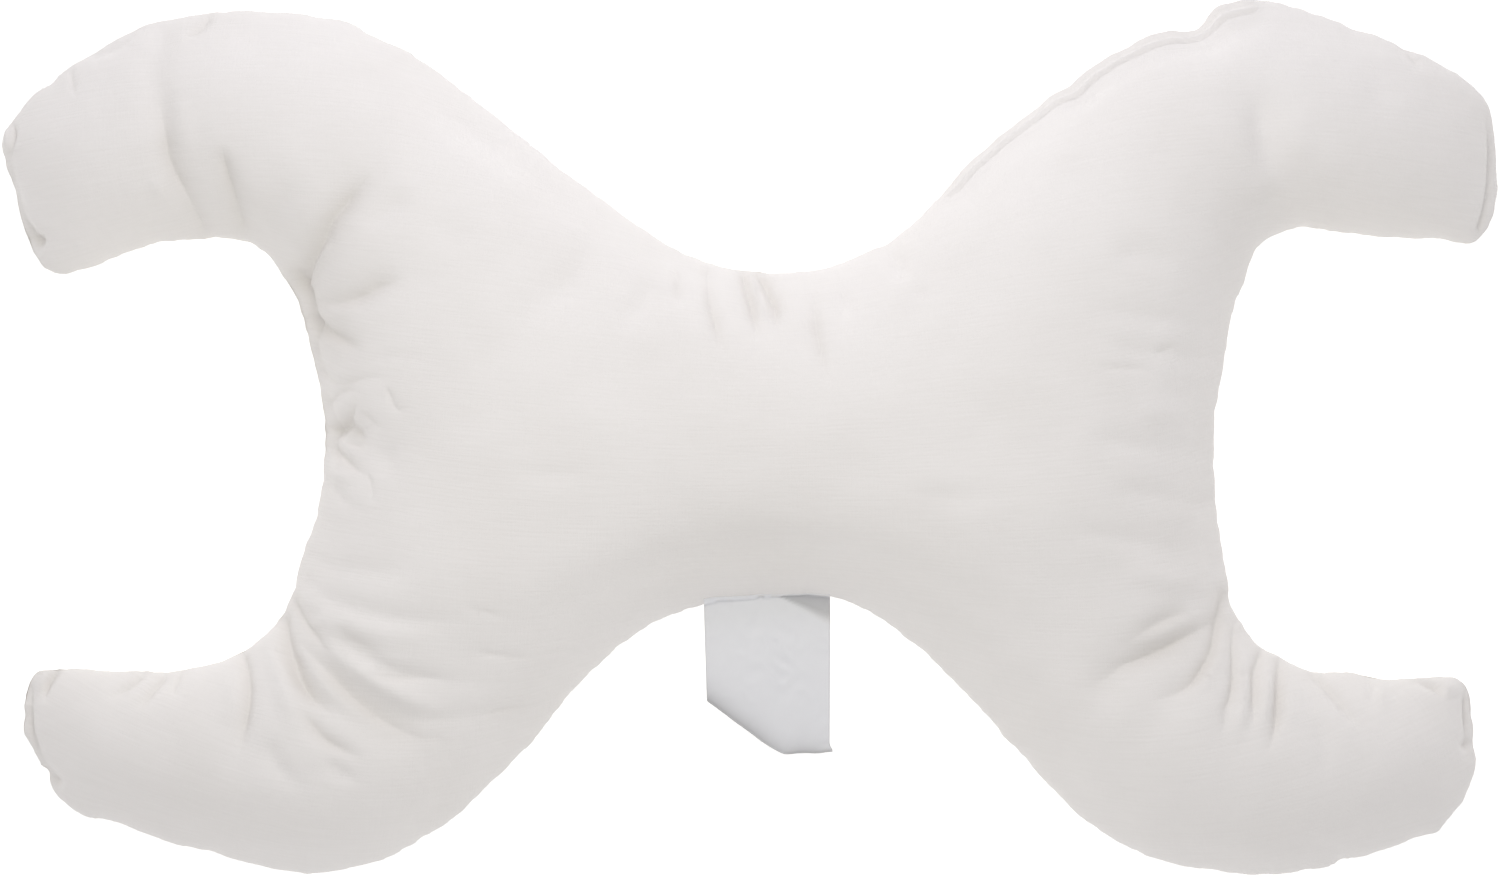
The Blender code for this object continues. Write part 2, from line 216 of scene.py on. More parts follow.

# Ribbon: its colour and the darker colour of its painted shade, and its ribs and selvedges, in millimetres
# but for their height
RIBBON_COLOUR = (0.872, 0.875, 0.896, 1.0)
RIBBON_SHADE = (0.36, 0.355, 0.36, 1.0)
RIBBON_ROUGHNESS = 0.55
RIBBON_SHEEN = 0.15
RIBBON_RIB = 0.45
RIB_HEIGHT = 0.00008
RIB_STRENGTH = 0.3
SELVEDGE_WIDTH = 1.6
SELVEDGE_RISE = 2.0

# All creases: how much deeper they are cut than their rows say, the shares of the path over
# which they deepen and fade, how far they are felt in half-widths, and how much painted shade crisp ones
# get
CREASE_SHARE = 1.5
CREASE_DEEPENS_BY = 0.35
CREASE_FADES_FROM = 0.5
CREASE_FELT = 4
PATH_STEPS = 8
CREASE_SHADE = 0.6
SHADED_CRISP = 0.45
SHADED_DEPTH = 0.004

# Cuts of the front's faces in four: how near a crease, in half-widths, beside creases at least
# so crisp, and beside rolled seams where a face follows them more than so fully
FinerCut = namedtuple("FinerCut", "reach least_crisp least_rolled")

FINER_CUTS = (
    FinerCut(0.95, 0.5, 0.6),
    FinerCut(0.5, 0.6, 1.0),
)

# Creases, in millimetres from the middle, a row for each. Width is the half-width of the
# trough, and a depth under 0 is a ridge. Crisp is 0 for a round trough and 1 for a sharp one.
# Start and end are the shares of the depth left at the path's two ends, 0 if not given.
Crease = namedtuple("Crease", "place path width depth crisp start end", defaults=(0.0, 0.0))

UPPER_LEFT_CREASES = (
    ("arm, long, upper part", ((-270.5, 192), (-269.5, 180), (-270.5, 168), (-269, 156), (-267.5, 146)),
     6.5, 1.4, 0.1, 0.6, 0.8),
    ("arm, long", ((-267.5, 150), (-265.5, 138), (-264, 128), (-261.5, 120), (-258, 112), (-253, 101),
     (-250, 95)), 4.2, 2.6, 0.8, 0.2, 0.5),
    ("arm, rib beside it", ((-260, 160), (-258.5, 146), (-256, 134), (-252, 120)), 5.0, -1.0, 0.0, 0.3),
    ("arm, short", ((-239.5, 134), (-239, 123), (-237.5, 114), (-235, 105), (-232.5, 96)),
     4.4, 2.6, 0.7, 0.0, 0.8),
    ("arm, at the seam", ((-247.5, 195), (-250, 189.5), (-254, 185.5), (-259, 181)), 2.6, 1.4, 0.6, 1.0),
    ("arm, faint rib", ((-271, 119), (-267.5, 105)), 2.6, -0.6, 0.0),
    ("arm, tuck at the seam", ((-300, 175), (-293, 178), (-287, 181.5), (-281, 187)),
     2.6, 1.4, 0.4, 0.6, 0.6),
    ("end, small", ((-311.5, 167), (-309.5, 160), (-307.5, 154)), 1.8, 0.8, 0.6, 0.8),
    ("end, dimple", ((-332, 91), (-327, 89.5), (-323, 86)), 3.6, 3.2, 0.6, 1.0),
    ("end, wall", ((-341.5, 130), (-339, 116), (-336, 104), (-332.5, 95)), 2.4, 2.2, 0.6, 0.4, 1.0),
    ("end, flap", ((-342, 143), (-341.5, 134)), 1.5, -1.2, 0.3, 0.8, 0.8),
    ("end, line at the flap", ((-338.5, 144), (-338, 138), (-339, 131)), 1.3, 1.5, 0.6, 0.5, 0.5),
    ("corner, main", ((-170, 121), (-177, 112), (-184, 104), (-189, 98), (-193, 91), (-197, 83.5),
     (-201, 77), (-208, 67)), 4.8, 3.4, 0.8, 0.0, 1.0),
    ("corner, ridge under it", ((-190, 89), (-195, 81.5), (-199, 76), (-204, 69)),
     2.2, -1.5, 0.0, 0.0, 0.8),
    ("corner, far", ((-150, 111), (-164, 102), (-178, 92)), 6.0, 1.4, 0.4),
    ("corner, lower", ((-154, 72), (-167, 68), (-175, 64), (-183, 61), (-191, 60.5), (-200, 62.5)),
     4.2, 2.3, 0.6, 0.0, 0.3),
    ("corner, lower ridge", ((-175, 58.5), (-186, 57.5), (-197, 57)), 3.6, -1.1, 0.0, 0.0, 0.4),
    ("corner, foot", ((-204, 53), (-196, 49), (-189, 45.5), (-181, 41.5), (-172, 37)), 4.6, 2.8, 0.6, 1.0),
    ("corner, foot ridge", ((-200, 43.5), (-190, 42), (-181, 38)), 3.6, -1.0, 0.0, 0.5),
    ("slope, under the seam", ((-152, 158), (-125, 138), (-100, 119), (-76, 99)), 6.0, 1.1, 0.2, 0.0, 0.3),
    ("corner, faint upper", ((-226, 92), (-214, 104), (-205, 118)), 6.0, 0.8, 0.2, 1.0),
    ("corner, hollow at the seam", ((-216, 84), (-208, 70), (-203, 52), (-199, 36)),
     8.0, 1.7, 0.0, 0.3, 0.3),
    ("corner, dark at the seam", ((-209, 73), (-205, 60), (-201.5, 44), (-199, 28), (-197.5, 10)),
     3.0, 2.0, 0.5, 0.6, 0.8),
    ("shoulder, left of it", ((-150, 96), (-132, 92), (-116, 82)), 8.0, 0.9, 0.1),
    ("faint line", ((-172, 35.5), (-158, 36.5), (-144, 35.5)), 2.2, 0.5, 0.4),
)
WAIST_CREASES = (
    ("left pinch, upper", ((-198, 3.5), (-190, 3), (-184, 4.5), (-179, 2), (-174, -3.5), (-170, -5)),
     3.8, 3.2, 0.6, 1.0),
    ("left pinch, branch", ((-188, 4), (-183, 8), (-180, 12), (-177, 18)), 2.0, 1.0, 0.7, 0.5),
    ("left pinch, rib", ((-184, 0), (-179.5, 6), (-177, 12)), 2.2, -0.8, 0.0, 0.3),
    ("left pinch, fold", ((-186, -1.5), (-179, -4), (-173, -4.5)), 2.2, 1.0, 0.7, 0.3),
    ("left pinch, lower", ((-196, -3.5), (-188.5, -7.5), (-184, -10.5), (-179, -14.5), (-171, -18)),
     2.6, 1.9, 0.7, 1.0),
    ("left, hollow at the seam", ((-200, 24), (-197, 8), (-196.5, -6), (-199, -20)),
     9.0, 2.2, 0.0, 0.3, 0.3),
    ("left, upper line", ((-197, 30), (-186, 24), (-172, 27), (-160, 26)), 2.2, 0.7, 0.6, 1.0),
    ("left, line over the pinch", ((-193, 16), (-183, 21), (-174, 19)), 2.0, 0.7, 0.6, 1.0),
    ("left, low line", ((-196, -18), (-189, -24), (-181, -31), (-170, -36)), 3.0, 0.9, 0.4, 1.0),
    ("left, rib under it", ((-191, -11), (-185.5, -17), (-181, -23)), 4.2, -1.3, 0.0, 0.4),
    ("left, rib between", ((-190, -1), (-183, -4.5), (-177, -8)), 2.4, -0.7, 0.0, 0.5),
    ("left, small upper", ((-177, 13), (-172, 8), (-165, 2.5)), 1.8, 0.9, 0.7),
    ("left, small far", ((-165, 25), (-162.5, 19), (-159, 12.5), (-151, 14)), 1.8, 0.8, 0.7),
    ("left, small lower", ((-174, -14), (-171, -23), (-170.5, -31)), 1.7, 0.7, 0.7),
    ("left, broad", ((-165, -2), (-164, -12), (-167, -20)), 5.0, 0.9, 0.2),
    ("right, first line", ((153, 31), (170, 31), (188, 30)), 2.0, 0.6, 0.5),
    ("right, second line", ((183, 37), (196, 42)), 2.0, 0.7, 0.5),
    ("right, under the arm", ((160, 84), (180, 82), (204, 79)), 7.0, 1.1, 0.1),
    ("right, upper streak", ((150, 60), (178, 54), (208, 51)), 5.0, 0.9, 0.2, 0.0, 0.5),
    ("right, middle streak", ((158, 43), (184, 38), (214, 36)), 4.6, 0.8, 0.2, 0.0, 0.6),
    ("right, swell", ((172, 13), (190, 11), (207, 12)), 6.0, -1.1, 0.0, 0.0, 0.3),
    ("right, under the swell", ((146, 1), (176, -4), (206, -7)), 5.5, 1.0, 0.2, 0.0, 0.4),
    ("right, low streak", ((158, -24), (184, -26), (209, -31)), 4.6, 0.8, 0.2, 0.0, 0.6),
    ("right, lowest streak", ((140, -42), (170, -46), (200, -51)), 5.0, 0.9, 0.2, 0.0, 0.3),
    ("right, swell by the corner", ((168, -60), (190, -64), (212, -67)), 5.0, -0.9, 0.0, 0.0, 0.3),
    ("middle, left streak", ((-116, -14), (-88, -17), (-58, -13)), 5.0, 0.6, 0.2),
    ("middle, right streak", ((64, -24), (96, -27), (130, -24)), 5.0, 0.6, 0.2),
    ("bottom band", ((-122, -98), (-95, -84), (-64, -68), (-32, -56), (5, -51), (40, -52), (75, -62),
     (108, -79), (130, -95)), 10.0, 1.7, 0.0, 0.2, 0.2),
    ("lower left, first line", ((-130, -76), (-118, -79), (-105, -82)), 2.0, 0.5, 0.5),
    ("lower left, second line", ((-127, -97.5), (-110, -100), (-93, -101.5)), 2.0, 0.6, 0.5),
    ("lower left, third line", ((-123, -128), (-108, -125), (-92, -120)), 2.2, 0.7, 0.5),
)
TOP_ARCH_CREASES = (
    ("left, broad", ((-70, 92), (-75, 80), (-80, 72), (-87, 64), (-93, 56), (-97, 46)), 8.0, 2.0, 0.3, 0.5),
    ("left, second", ((-42, 74), (-48, 62), (-54, 54), (-58, 44)), 6.0, 1.6, 0.4, 0.2),
    ("left, short", ((-32, 73), (-32, 66), (-30.5, 58)), 2.6, 1.1, 0.5, 0.6),
    ("left, long", ((-19, 75), (-17, 60), (-15, 52), (-13, 43), (-7.5, 33)), 3.0, 1.9, 0.6, 0.5),
    ("middle, left", ((-3.5, 77), (-1, 68), (1, 60), (3, 50), (3, 41)), 2.6, 2.1, 0.6, 1.0),
    ("middle, ridge", ((1, 75), (3.5, 66), (6, 59), (7.5, 49)), 2.2, -1.4, 0.0, 0.8),
    ("middle, right", ((4.5, 76), (9, 66), (11.5, 59), (12, 46)), 3.0, 2.5, 0.6, 1.0),
    ("right, long", ((29, 64), (30, 50), (32, 40), (35.5, 20)), 3.2, 1.6, 0.6, 0.2),
    ("right, short", ((42, 68), (42, 53)), 3.0, 1.0, 0.4, 0.3),
    ("far right, soft", ((62, 87), (67, 77), (66, 68)), 5.5, 1.7, 0.4, 0.6),
    ("far right, short", ((77, 69), (78, 60)), 3.2, 0.9, 0.3, 0.3),
)
UPPER_RIGHT_CREASES = (
    ("arm, soft upright", ((229, 160), (231.5, 146), (234, 133), (237.5, 120), (240, 107)), 6.0, 1.7, 0.2),
    ("arm, swell beside it", ((247, 152), (249, 136), (250, 120)), 7.0, -0.9, 0.0),
    ("arm, second soft upright", ((284, 176), (285, 158), (284, 140)), 8.0, 0.9, 0.0),
    ("end, wall", ((339.2, 148), (341.2, 130), (340.2, 112), (336.2, 96)), 2.2, 1.9, 0.6, 0.3, 1.0),
    ("arm, inner corner", ((242, 113), (237, 104), (230, 97)), 5.0, 1.3, 0.2, 0.0, 0.5),
    ("arm, pucker", ((302, 179), (305, 173), (309, 167)), 2.6, 1.2, 0.5, 1.0),
)
LOWER_RIGHT_CREASES = (
    ("corner, main", ((214, -83.5), (206, -87.5), (200, -90.5), (192, -95), (184, -98.5), (176, -102),
     (168, -105.5), (161, -110.5), (151, -115)), 4.6, 3.0, 0.8, 0.3),
    ("corner, ridge over it", ((211, -78.5), (201, -84), (192, -88), (184, -91.5), (170, -97)),
     4.0, -1.1, 0.0, 0.3),
    ("corner, upper", ((204, -78), (190, -84), (181, -89), (171, -95)), 5.0, 1.6, 0.6, 0.0, 0.2),
    ("corner, steep", ((219.5, -72), (217.5, -82), (215.5, -89), (212.5, -96), (208.5, -102), (204.5, -107),
     (200, -111.5), (194.5, -115), (188, -118), (179, -120)), 3.4, 3.0, 0.8, 0.8),
    ("corner, ridge under it", ((218.5, -86), (216, -94), (212, -102), (207.5, -109), (201, -115),
     (192, -120)), 3.2, -1.2, 0.0, 0.3),
    ("first upright", ((223.5, -84), (222.3, -97), (221.8, -108), (220, -117), (217, -123), (215.5, -130),
     (212.5, -137)), 2.2, 2.0, 0.6, 0.5),
    ("first rib", ((226.8, -100), (226, -111), (224.5, -121), (222, -131), (218, -141)),
     3.0, -1.6, 0.0, 0.2),
    ("second upright", ((235, -98), (231.5, -106), (230, -113), (229.3, -121), (228.3, -133)),
     2.2, 1.8, 0.6, 0.8),
    ("second rib", ((238, -103), (236.3, -114), (235, -123), (232, -134)), 3.2, -1.7, 0.0, 0.2),
    ("third upright", ((243.5, -101), (241.3, -113), (240.5, -121), (239.3, -130), (236.5, -139),
     (233, -146)), 2.6, 2.4, 0.6, 0.6),
    ("third rib", ((246, -107), (247, -120), (246, -134)), 5.0, -0.9, 0.0, 0.3),
    ("arm, first", ((258.5, -108), (264, -114), (269, -120), (274, -127), (280, -136)), 2.8, 1.5, 0.5, 1.0),
    ("arm, second", ((283, -109), (285, -115), (283, -126)), 2.4, 0.9, 0.4, 1.0),
    ("arm, rib", ((286.5, -112), (289, -118), (290.5, -125)), 2.4, -0.8, 0.0, 0.5),
    ("arm, soft", ((256.5, -125), (260, -138), (261.5, -148), (265, -162)), 5.0, 1.1, 0.2),
    ("end, pucker", ((306, -111), (313, -113.8), (317, -117), (320, -122)), 2.0, 1.5, 0.6, 0.8),
    ("end, bump", ((321, -113), (324, -120)), 3.5, -1.3, 0.0, 0.6),
    ("end, nick", ((333, -140.5), (325, -142.5)), 2.4, 1.1, 0.5, 1.0),
    ("end, wall", ((330, -113), (330.5, -128), (330.2, -146)), 2.4, 2.1, 0.6, 0.7, 0.2),
)
LOWER_LEFT_CREASES = (
    ("corner, deepest", ((-214.5, -83), (-211.5, -95), (-207.5, -104), (-203.5, -111), (-198, -118),
     (-192, -123), (-186, -129)), 3.6, 3.8, 0.6, 0.7),
    ("corner, rib left of it", ((-219.5, -91), (-214.5, -102), (-211, -112), (-208.5, -122), (-203, -135)),
     5.0, -1.9, 0.0, 0.4),
    ("corner, second", ((-204, -94), (-197, -101.5), (-191, -108), (-184, -115.5), (-176, -122),
     (-168, -128), (-160, -133), (-150, -137.5), (-140, -138)), 5.0, 2.8, 0.8, 0.3, 0.2),
    ("corner, rib under it", ((-205, -97), (-198, -105.5), (-192, -112), (-184, -119.5), (-175, -126),
     (-164, -133), (-154, -138)), 3.6, -1.5, 0.0, 0.3),
    ("corner, third", ((-210, -74), (-206, -81), (-202.5, -86), (-198, -90), (-195, -94.5), (-189, -99)),
     3.0, 2.0, 0.6, 1.0),
    ("corner, rib over it", ((-198, -79), (-192, -87), (-185, -92)), 4.0, -0.9, 0.0),
    ("corner, fourth", ((-190, -86), (-180, -92), (-172, -96), (-163, -100)), 4.0, 1.2, 0.5),
    ("body, level", ((-178, -107), (-165, -109.5), (-152, -111), (-141, -110)), 3.0, 0.9, 0.6),
    ("corner, hook", ((-205.5, -120), (-200, -127.5), (-196, -133), (-191.5, -137.5), (-186, -141),
     (-178, -144.5), (-171, -147.5)), 3.4, 2.1, 0.5),
    ("low", ((-194, -145), (-187, -151), (-181, -154.5), (-173, -157.5)), 3.6, 1.4, 0.4),
    ("low, soft", ((-220, -132), (-217, -143), (-213, -150.5), (-205, -156.5), (-196, -160)),
     5.0, 1.5, 0.2),
    ("upright", ((-232.5, -99), (-229.5, -108), (-228.5, -118), (-229.5, -130), (-231.8, -147)),
     2.8, 2.5, 0.6, 0.8),
    ("upright, rib beside it", ((-236, -106), (-234.5, -120), (-236.5, -134)), 5.0, -1.1, 0.0, 0.3),
    ("arm, far", ((-276.5, -107), (-282.5, -113), (-287, -116), (-294, -120)), 2.2, 1.4, 0.6, 1.0),
    ("arm, middle", ((-267, -107), (-271.5, -113.5), (-275, -118.5), (-280, -126)), 2.4, 1.6, 0.6, 1.0),
    ("arm, near", ((-260.5, -106.5), (-262.2, -112), (-264, -120)), 2.0, 1.0, 0.6, 1.0),
    ("end", ((-317.5, -106), (-322, -111), (-324, -116), (-323.3, -123)), 2.4, 2.5, 0.6, 0.8),
    ("end, pocket", ((-324, -154), (-320, -157.5), (-314, -160)), 3.0, 1.9, 0.5, 1.0),
    ("end, wall", ((-331.8, -114), (-332.5, -126), (-331, -138), (-326.5, -149)), 2.6, 2.3, 0.6, 0.6, 0.8),
    ("corner, long trough", ((-200, -80), (-188, -92), (-173, -101), (-154, -108), (-130, -112),
     (-104, -113)), 4.4, 1.5, 0.3, 0.6),
    ("corner, long rib", ((-197, -88), (-186, -99), (-174, -108), (-160, -117), (-142, -124), (-122, -128)),
     4.0, -1.4, 0.0, 0.3),
    ("corner, far streak", ((-176, -122), (-150, -129), (-122, -128), (-98, -121)), 4.6, 1.0, 0.3),
    ("corner, upper trough", ((-206, -64), (-190, -74), (-168, -80), (-142, -83), (-114, -82)),
     4.8, 1.2, 0.3, 0.5),
    ("corner, upper rib", ((-202, -72), (-186, -82), (-164, -89), (-138, -92)), 4.6, -1.0, 0.0, 0.4),
    ("corner, top streak", ((-206, -54), (-188, -59), (-164, -61), (-140, -60)), 5.0, 0.9, 0.2, 0.5),
)
FRONT_CREASES = [Crease(*row) for row in (
    UPPER_LEFT_CREASES + WAIST_CREASES + TOP_ARCH_CREASES + UPPER_RIGHT_CREASES
    + LOWER_RIGHT_CREASES + LOWER_LEFT_CREASES
)]
# Light wrinkles of the back, where the cloth at the seam is fullest
BACK_CREASES = [Crease(*row) for row in (
    ("upper left corner", ((-207, 66), (-190, 84), (-172, 96)), 5.0, 2.0, 0.4, 1.0),
    ("lower left corner", ((-216, -80), (-200, -100), (-186, -110)), 5.0, 2.0, 0.4, 1.0),
    ("upper right corner", ((226, 72), (212, 92), (196, 101)), 5.0, 1.8, 0.4, 1.0),
    ("lower right corner", ((223, -78), (208, -100), (190, -112)), 5.0, 2.2, 0.4, 1.0),
    ("left waist", ((-193, 0), (-170, 4)), 4.0, 1.8, 0.4, 1.0),
    ("right waist", ((211, -8), (190, -4)), 4.0, 1.4, 0.4, 1.0),
    ("top arch, left", ((-8, 76), (-4, 52)), 4.0, 1.2, 0.3, 1.0),
    ("top arch, right", ((22, 75), (19, 50)), 4.0, 1.4, 0.3, 1.0),
    ("bottom arch, left", ((-12, -74), (-6, -50)), 4.0, 1.2, 0.3, 1.0),
    ("bottom arch, right", ((40, -74), (36, -48)), 4.0, 1.2, 0.3, 1.0),
)]

# Broad hollows of the front, where the filling is thin, and swells, which are over 0, all in
# millimetres
BroadShape = namedtuple("BroadShape", "place reach height")

BROAD_SHAPES = (
    BroadShape((148, -88), (60, 46), -7.0),
    BroadShape((214, -6), (44, 56), -3.5),
    BroadShape((120, -35), (60, 28), 2.0),
    BroadShape((-148, -114), (50, 34), -4.8),
    BroadShape((-130, -60), (50, 26), 1.5),
    BroadShape((-250, 112), (30, 34), -3.2),
    BroadShape((228, 128), (24, 34), -2.0),
    BroadShape((-310, 130), (26, 30), 1.5),
)

# Bumps of the outline, and notches, which are under 0, all in millimetres
EdgeBump = namedtuple("EdgeBump", "place width push")

EDGE_BUMPS = [EdgeBump(*row) for row in (
    ((340, 108), 16, 1.6),
    ((335, 152), 10, 1.2),
    ((262, 190), 18, 1.3),
    ((217, 193), 7, 1.3),
    ((192, 183), 8, 0.8),
    ((-159, 175), 7, 1.3),
    ((-184, 187), 8, 1.2),
    ((-273, 188), 13, 1.1),
    ((-327, 154), 8, 1.3),
    ((-331, 98), 12, 0.9),
    ((-326, -142), 20, 2.2),
    ((-304, -170), 11, 2.9),
    ((-266, -183), 11, 1.2),
    ((-138, -172), 13, 1.4),
    ((104, -121), 16, -0.6),
    ((148, -168), 11, 1.2),
    ((272, -194), 5, -2.4),
    ((295, -185), 7, 1.3),
    ((-321, 161), 3, -0.9),
    ((-311, 169), 5, 0.5),
    ((-300, 174.5), 4, -0.9),
    ((-265, 191), 3, -0.6),
    ((-241, 194.6), 3, -0.6),
    ((-221, 194.5), 3, -0.7),
    ((-331.7, -128), 3, -0.9),
    ((-321.5, -154), 3, -1.3),
    ((331, -142), 3, -1.0),
    ((331, -149), 11, 1.7),
    ((-318, 78), 9, 1.7),
    ((67, 93), 12, -1.6),
    ((316, 90), 14, -1.1),
    ((254, -104), 8, -0.8),
    ((184, 184), 12, -1.0),
    ((316, -180), 4, 1.1),
    ((300, 177.5), 3, -0.8),
    ((277, 187), 4, -0.8),
)]

# Stretches where the seam has rolled onto the front: the edge's two ends, in millimetres
SeamRoll = namedtuple("SeamRoll", "place start end degrees")

SEAM_ROLLS = (
    SeamRoll("upper right arm", (147, 161), (226, 199), 14.0),
    SeamRoll("right slope", (96, 115), (146, 160), 6.0),
)


def deselect_all():
    for obj in bpy.context.selected_objects:
        obj.select_set(False)


def make_active(obj):
    deselect_all()
    obj.select_set(True)
    bpy.context.view_layer.objects.active = obj


def apply_modifier(obj, modifier):
    make_active(obj)
    bpy.ops.object.modifier_apply(modifier=modifier.name)


def new_piece(name, points, faces):
    mesh = bpy.data.meshes.new(name)
    mesh.from_pydata([tuple(p) for p in points], [], [tuple(f) for f in faces])
    piece = bpy.data.objects.new(name, mesh)
    bpy.context.scene.collection.objects.link(piece)
    return piece


def read_points(mesh):
    points = np.empty(len(mesh.vertices) * 3, np.float32)
    mesh.vertices.foreach_get("co", points)
    return points.reshape(-1, 3).astype(float)


def read_normals(mesh):
    normals = np.empty(len(mesh.vertices) * 3, np.float32)
    mesh.vertex_normals.foreach_get("vector", normals)
    return normals.reshape(-1, 3).astype(float)


def write_points(mesh, points):
    mesh.vertices.foreach_set("co", points.astype(np.float32).ravel())
    mesh.update()


def read_attribute(mesh, name):
    values = np.empty(len(mesh.vertices), np.float32)
    mesh.attributes[name].data.foreach_get("value", values)
    return values.astype(float)


def write_attribute(mesh, name, values):
    layer = mesh.attributes.new(name, "FLOAT", "POINT")
    layer.data.foreach_set("value", values.astype(np.float32))


def new_material(name):
    material = bpy.data.materials.new(name)
    material.use_nodes = True
    return material, material.node_tree, material.node_tree.nodes["Principled BSDF"]


def point_group(obj, name, points):
    """Makes a vertex group of these points of the piece, and returns its name."""
    group = obj.vertex_groups.new(name=name)
    group.add(points.tolist(), 1.0, "REPLACE")
    return group.name


def subdivide_smooth(obj):
    modifier = obj.modifiers.new("smooth", "SUBSURF")
    modifier.levels = 1
    modifier.render_levels = 1
    apply_modifier(obj, modifier)


def smooth_step(low, high, value):
    share = np.clip((value - low) / (high - low), 0.0, 1.0)
    return share * share * (3 - 2 * share)


def bell(value):
    return np.exp(-(value**2))


def noise_at(places):
    return np.array([noise.noise(Vector(place)) for place in places])


def distance_to(flat, place):
    """How far each point, in metres, is from a place in millimetres."""
    return np.linalg.norm(flat - np.array(place) * MM, axis=1)


# Camera, light and floor


def add_camera():
    low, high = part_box("pillow")
    across = (high.x - low.x) * PHOTO_WIDTH_PX / PILLOW_WIDTH_PX
    metres_per_px = across / PHOTO_WIDTH_PX
    data = bpy.data.cameras.new("camera")
    data.sensor_width = SENSOR
    data.lens = SENSOR * (CAMERA_HEIGHT - SEAM_HEIGHT) / across
    camera = bpy.data.objects.new("camera", data)
    camera.location = (
        (PHOTO_MIDDLE_PX[0] - PILLOW_MIDDLE_PX[0]) * metres_per_px,
        (PILLOW_MIDDLE_PX[1] - PHOTO_MIDDLE_PX[1]) * metres_per_px,
        CAMERA_HEIGHT,
    )
    bpy.context.scene.collection.objects.link(camera)
    bpy.context.scene.camera = camera


def add_area_light(row):
    data = bpy.data.lights.new(row.name, "AREA")
    data.shape = "RECTANGLE"
    data.size, data.size_y = row.size
    data.color = row.colour
    data.energy = row.watts
    light = bpy.data.objects.new(row.name, data)
    light.location = row.place
    light.rotation_euler = (-Vector(row.place)).to_track_quat("-Z", "Y").to_euler()
    bpy.context.scene.collection.objects.link(light)


def light_scene():
    for row in AREA_LIGHTS:
        add_area_light(row)
    world = bpy.data.worlds.new("studio")
    world.use_nodes = True
    background = world.node_tree.nodes["Background"]
    background.inputs["Color"].default_value = ROOM_COLOUR
    background.inputs["Strength"].default_value = ROOM_STRENGTH
    bpy.context.scene.world = world
    bpy.context.scene.view_settings.view_transform = "Standard"


def add_floor():
    deselect_all()
    bpy.ops.mesh.primitive_plane_add(size=FLOOR_SIZE, location=(0.0, 0.0, 0.0))
    floor = bpy.context.active_object
    floor.name = "floor"
    material, _, shader = new_material("floor paint")
    shader.inputs["Base Color"].default_value = FLOOR_COLOUR
    shader.inputs["Roughness"].default_value = FLOOR_ROUGHNESS
    shader.inputs["Emission Color"].default_value = FLOOR_GLOW
    shader.inputs["Emission Strength"].default_value = FLOOR_GLOW_STRENGTH
    floor.data.materials.append(material)


# Pillow: the solid's surface, with an even base and its seam marked


def merged_node(node):
    """The node's points and triangles, with the points that its triangles share made one."""
    shape = bmesh.new()
    shape.from_mesh(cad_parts[node].data)
    bmesh.ops.remove_doubles(shape, verts=shape.verts, dist=MERGE_DISTANCE)
    shape.verts.index_update()
    points = np.array([tuple(v.co) for v in shape.verts])
    faces = np.array([[v.index for v in f.verts] for f in shape.faces])
    shape.free()
    return points, faces


def grid_over(low, high, spacing):
    """Points over a box that are the corners of triangles with equal sides."""
    row_height = spacing * math.sqrt(0.75)
    points = []
    for row, y in enumerate(np.arange(low[1], high[1], row_height)):
        shift = spacing / 2 * (row % 2)
        points += [(x + shift, y) for x in np.arange(low[0], high[0], spacing)]
    return np.array(points)


def rim_edges(faces):
    """The edges that only one of the triangles has."""
    edges = np.sort(np.vstack([faces[:, [0, 1]], faces[:, [1, 2]], faces[:, [2, 0]]]), axis=1)
    found, count = np.unique(edges, axis=0, return_counts=True)
    return found[count == 1]


def facing_down(points, faces):
    a, b, c = (points[faces[:, i]] for i in range(3))
    up = np.cross(b - a, c - a)[:, 2] > 0
    faces[up] = faces[up][:, ::-1]
    return faces


def with_even_base(points, faces):
    """The flat base in even triangles, in place of the few long ones of the solid."""
    flat = (points[faces][:, :, 2] < BASE_FLAT).all(axis=1)
    rim = rim_edges(faces[flat])
    rim_points = np.unique(rim)
    place = {int(point): i for i, point in enumerate(rim_points)}
    around = points[rim_points][:, :2]
    grid = grid_over(around.min(axis=0), around.max(axis=0), BASE_SPACING)
    apart = np.linalg.norm(grid[:, None, :] - around[None, :, :], axis=2).min(axis=1)
    grid = grid[apart > BASE_CLEARANCE]
    flat_points = [Vector(p) for p in np.vstack([around, grid])]
    flat_edges = [(place[int(a)], place[int(b)]) for a, b in rim]
    verts, _, triangles, origins, _, _ = delaunay_2d_cdt(flat_points, flat_edges, [], 2, GRID_PRECISION)
    number, added = [], []
    for vert, origin in zip(verts, origins):
        old = [i for i in origin if i < len(rim_points)]
        if old:
            number.append(int(rim_points[old[0]]))
        else:
            number.append(len(points) + len(added))
            added.append((vert[0], vert[1], 0.0))
    base = np.array([[number[i] for i in triangle] for triangle in triangles])
    all_points = np.vstack([points, added])
    faces = np.vstack([faces[~flat], facing_down(all_points, base)])
    used, index = np.unique(faces, return_inverse=True)
    return all_points[used], index.reshape(faces.shape)


def mark_seam(mesh):
    """Marks the edges where the front panel meets the back panel, and keeps them crisp."""
    shape = bmesh.new()
    shape.from_mesh(mesh)
    crisp = shape.edges.layers.float.new("crease_edge")
    for edge in shape.edges:
        facing = [face.normal.z > FACES_UP for face in edge.link_faces]
        edge.seam = facing[0] != facing[1]
        edge[crisp] = 1.0 if edge.seam else 0.0
    shape.to_mesh(mesh)
    shape.free()


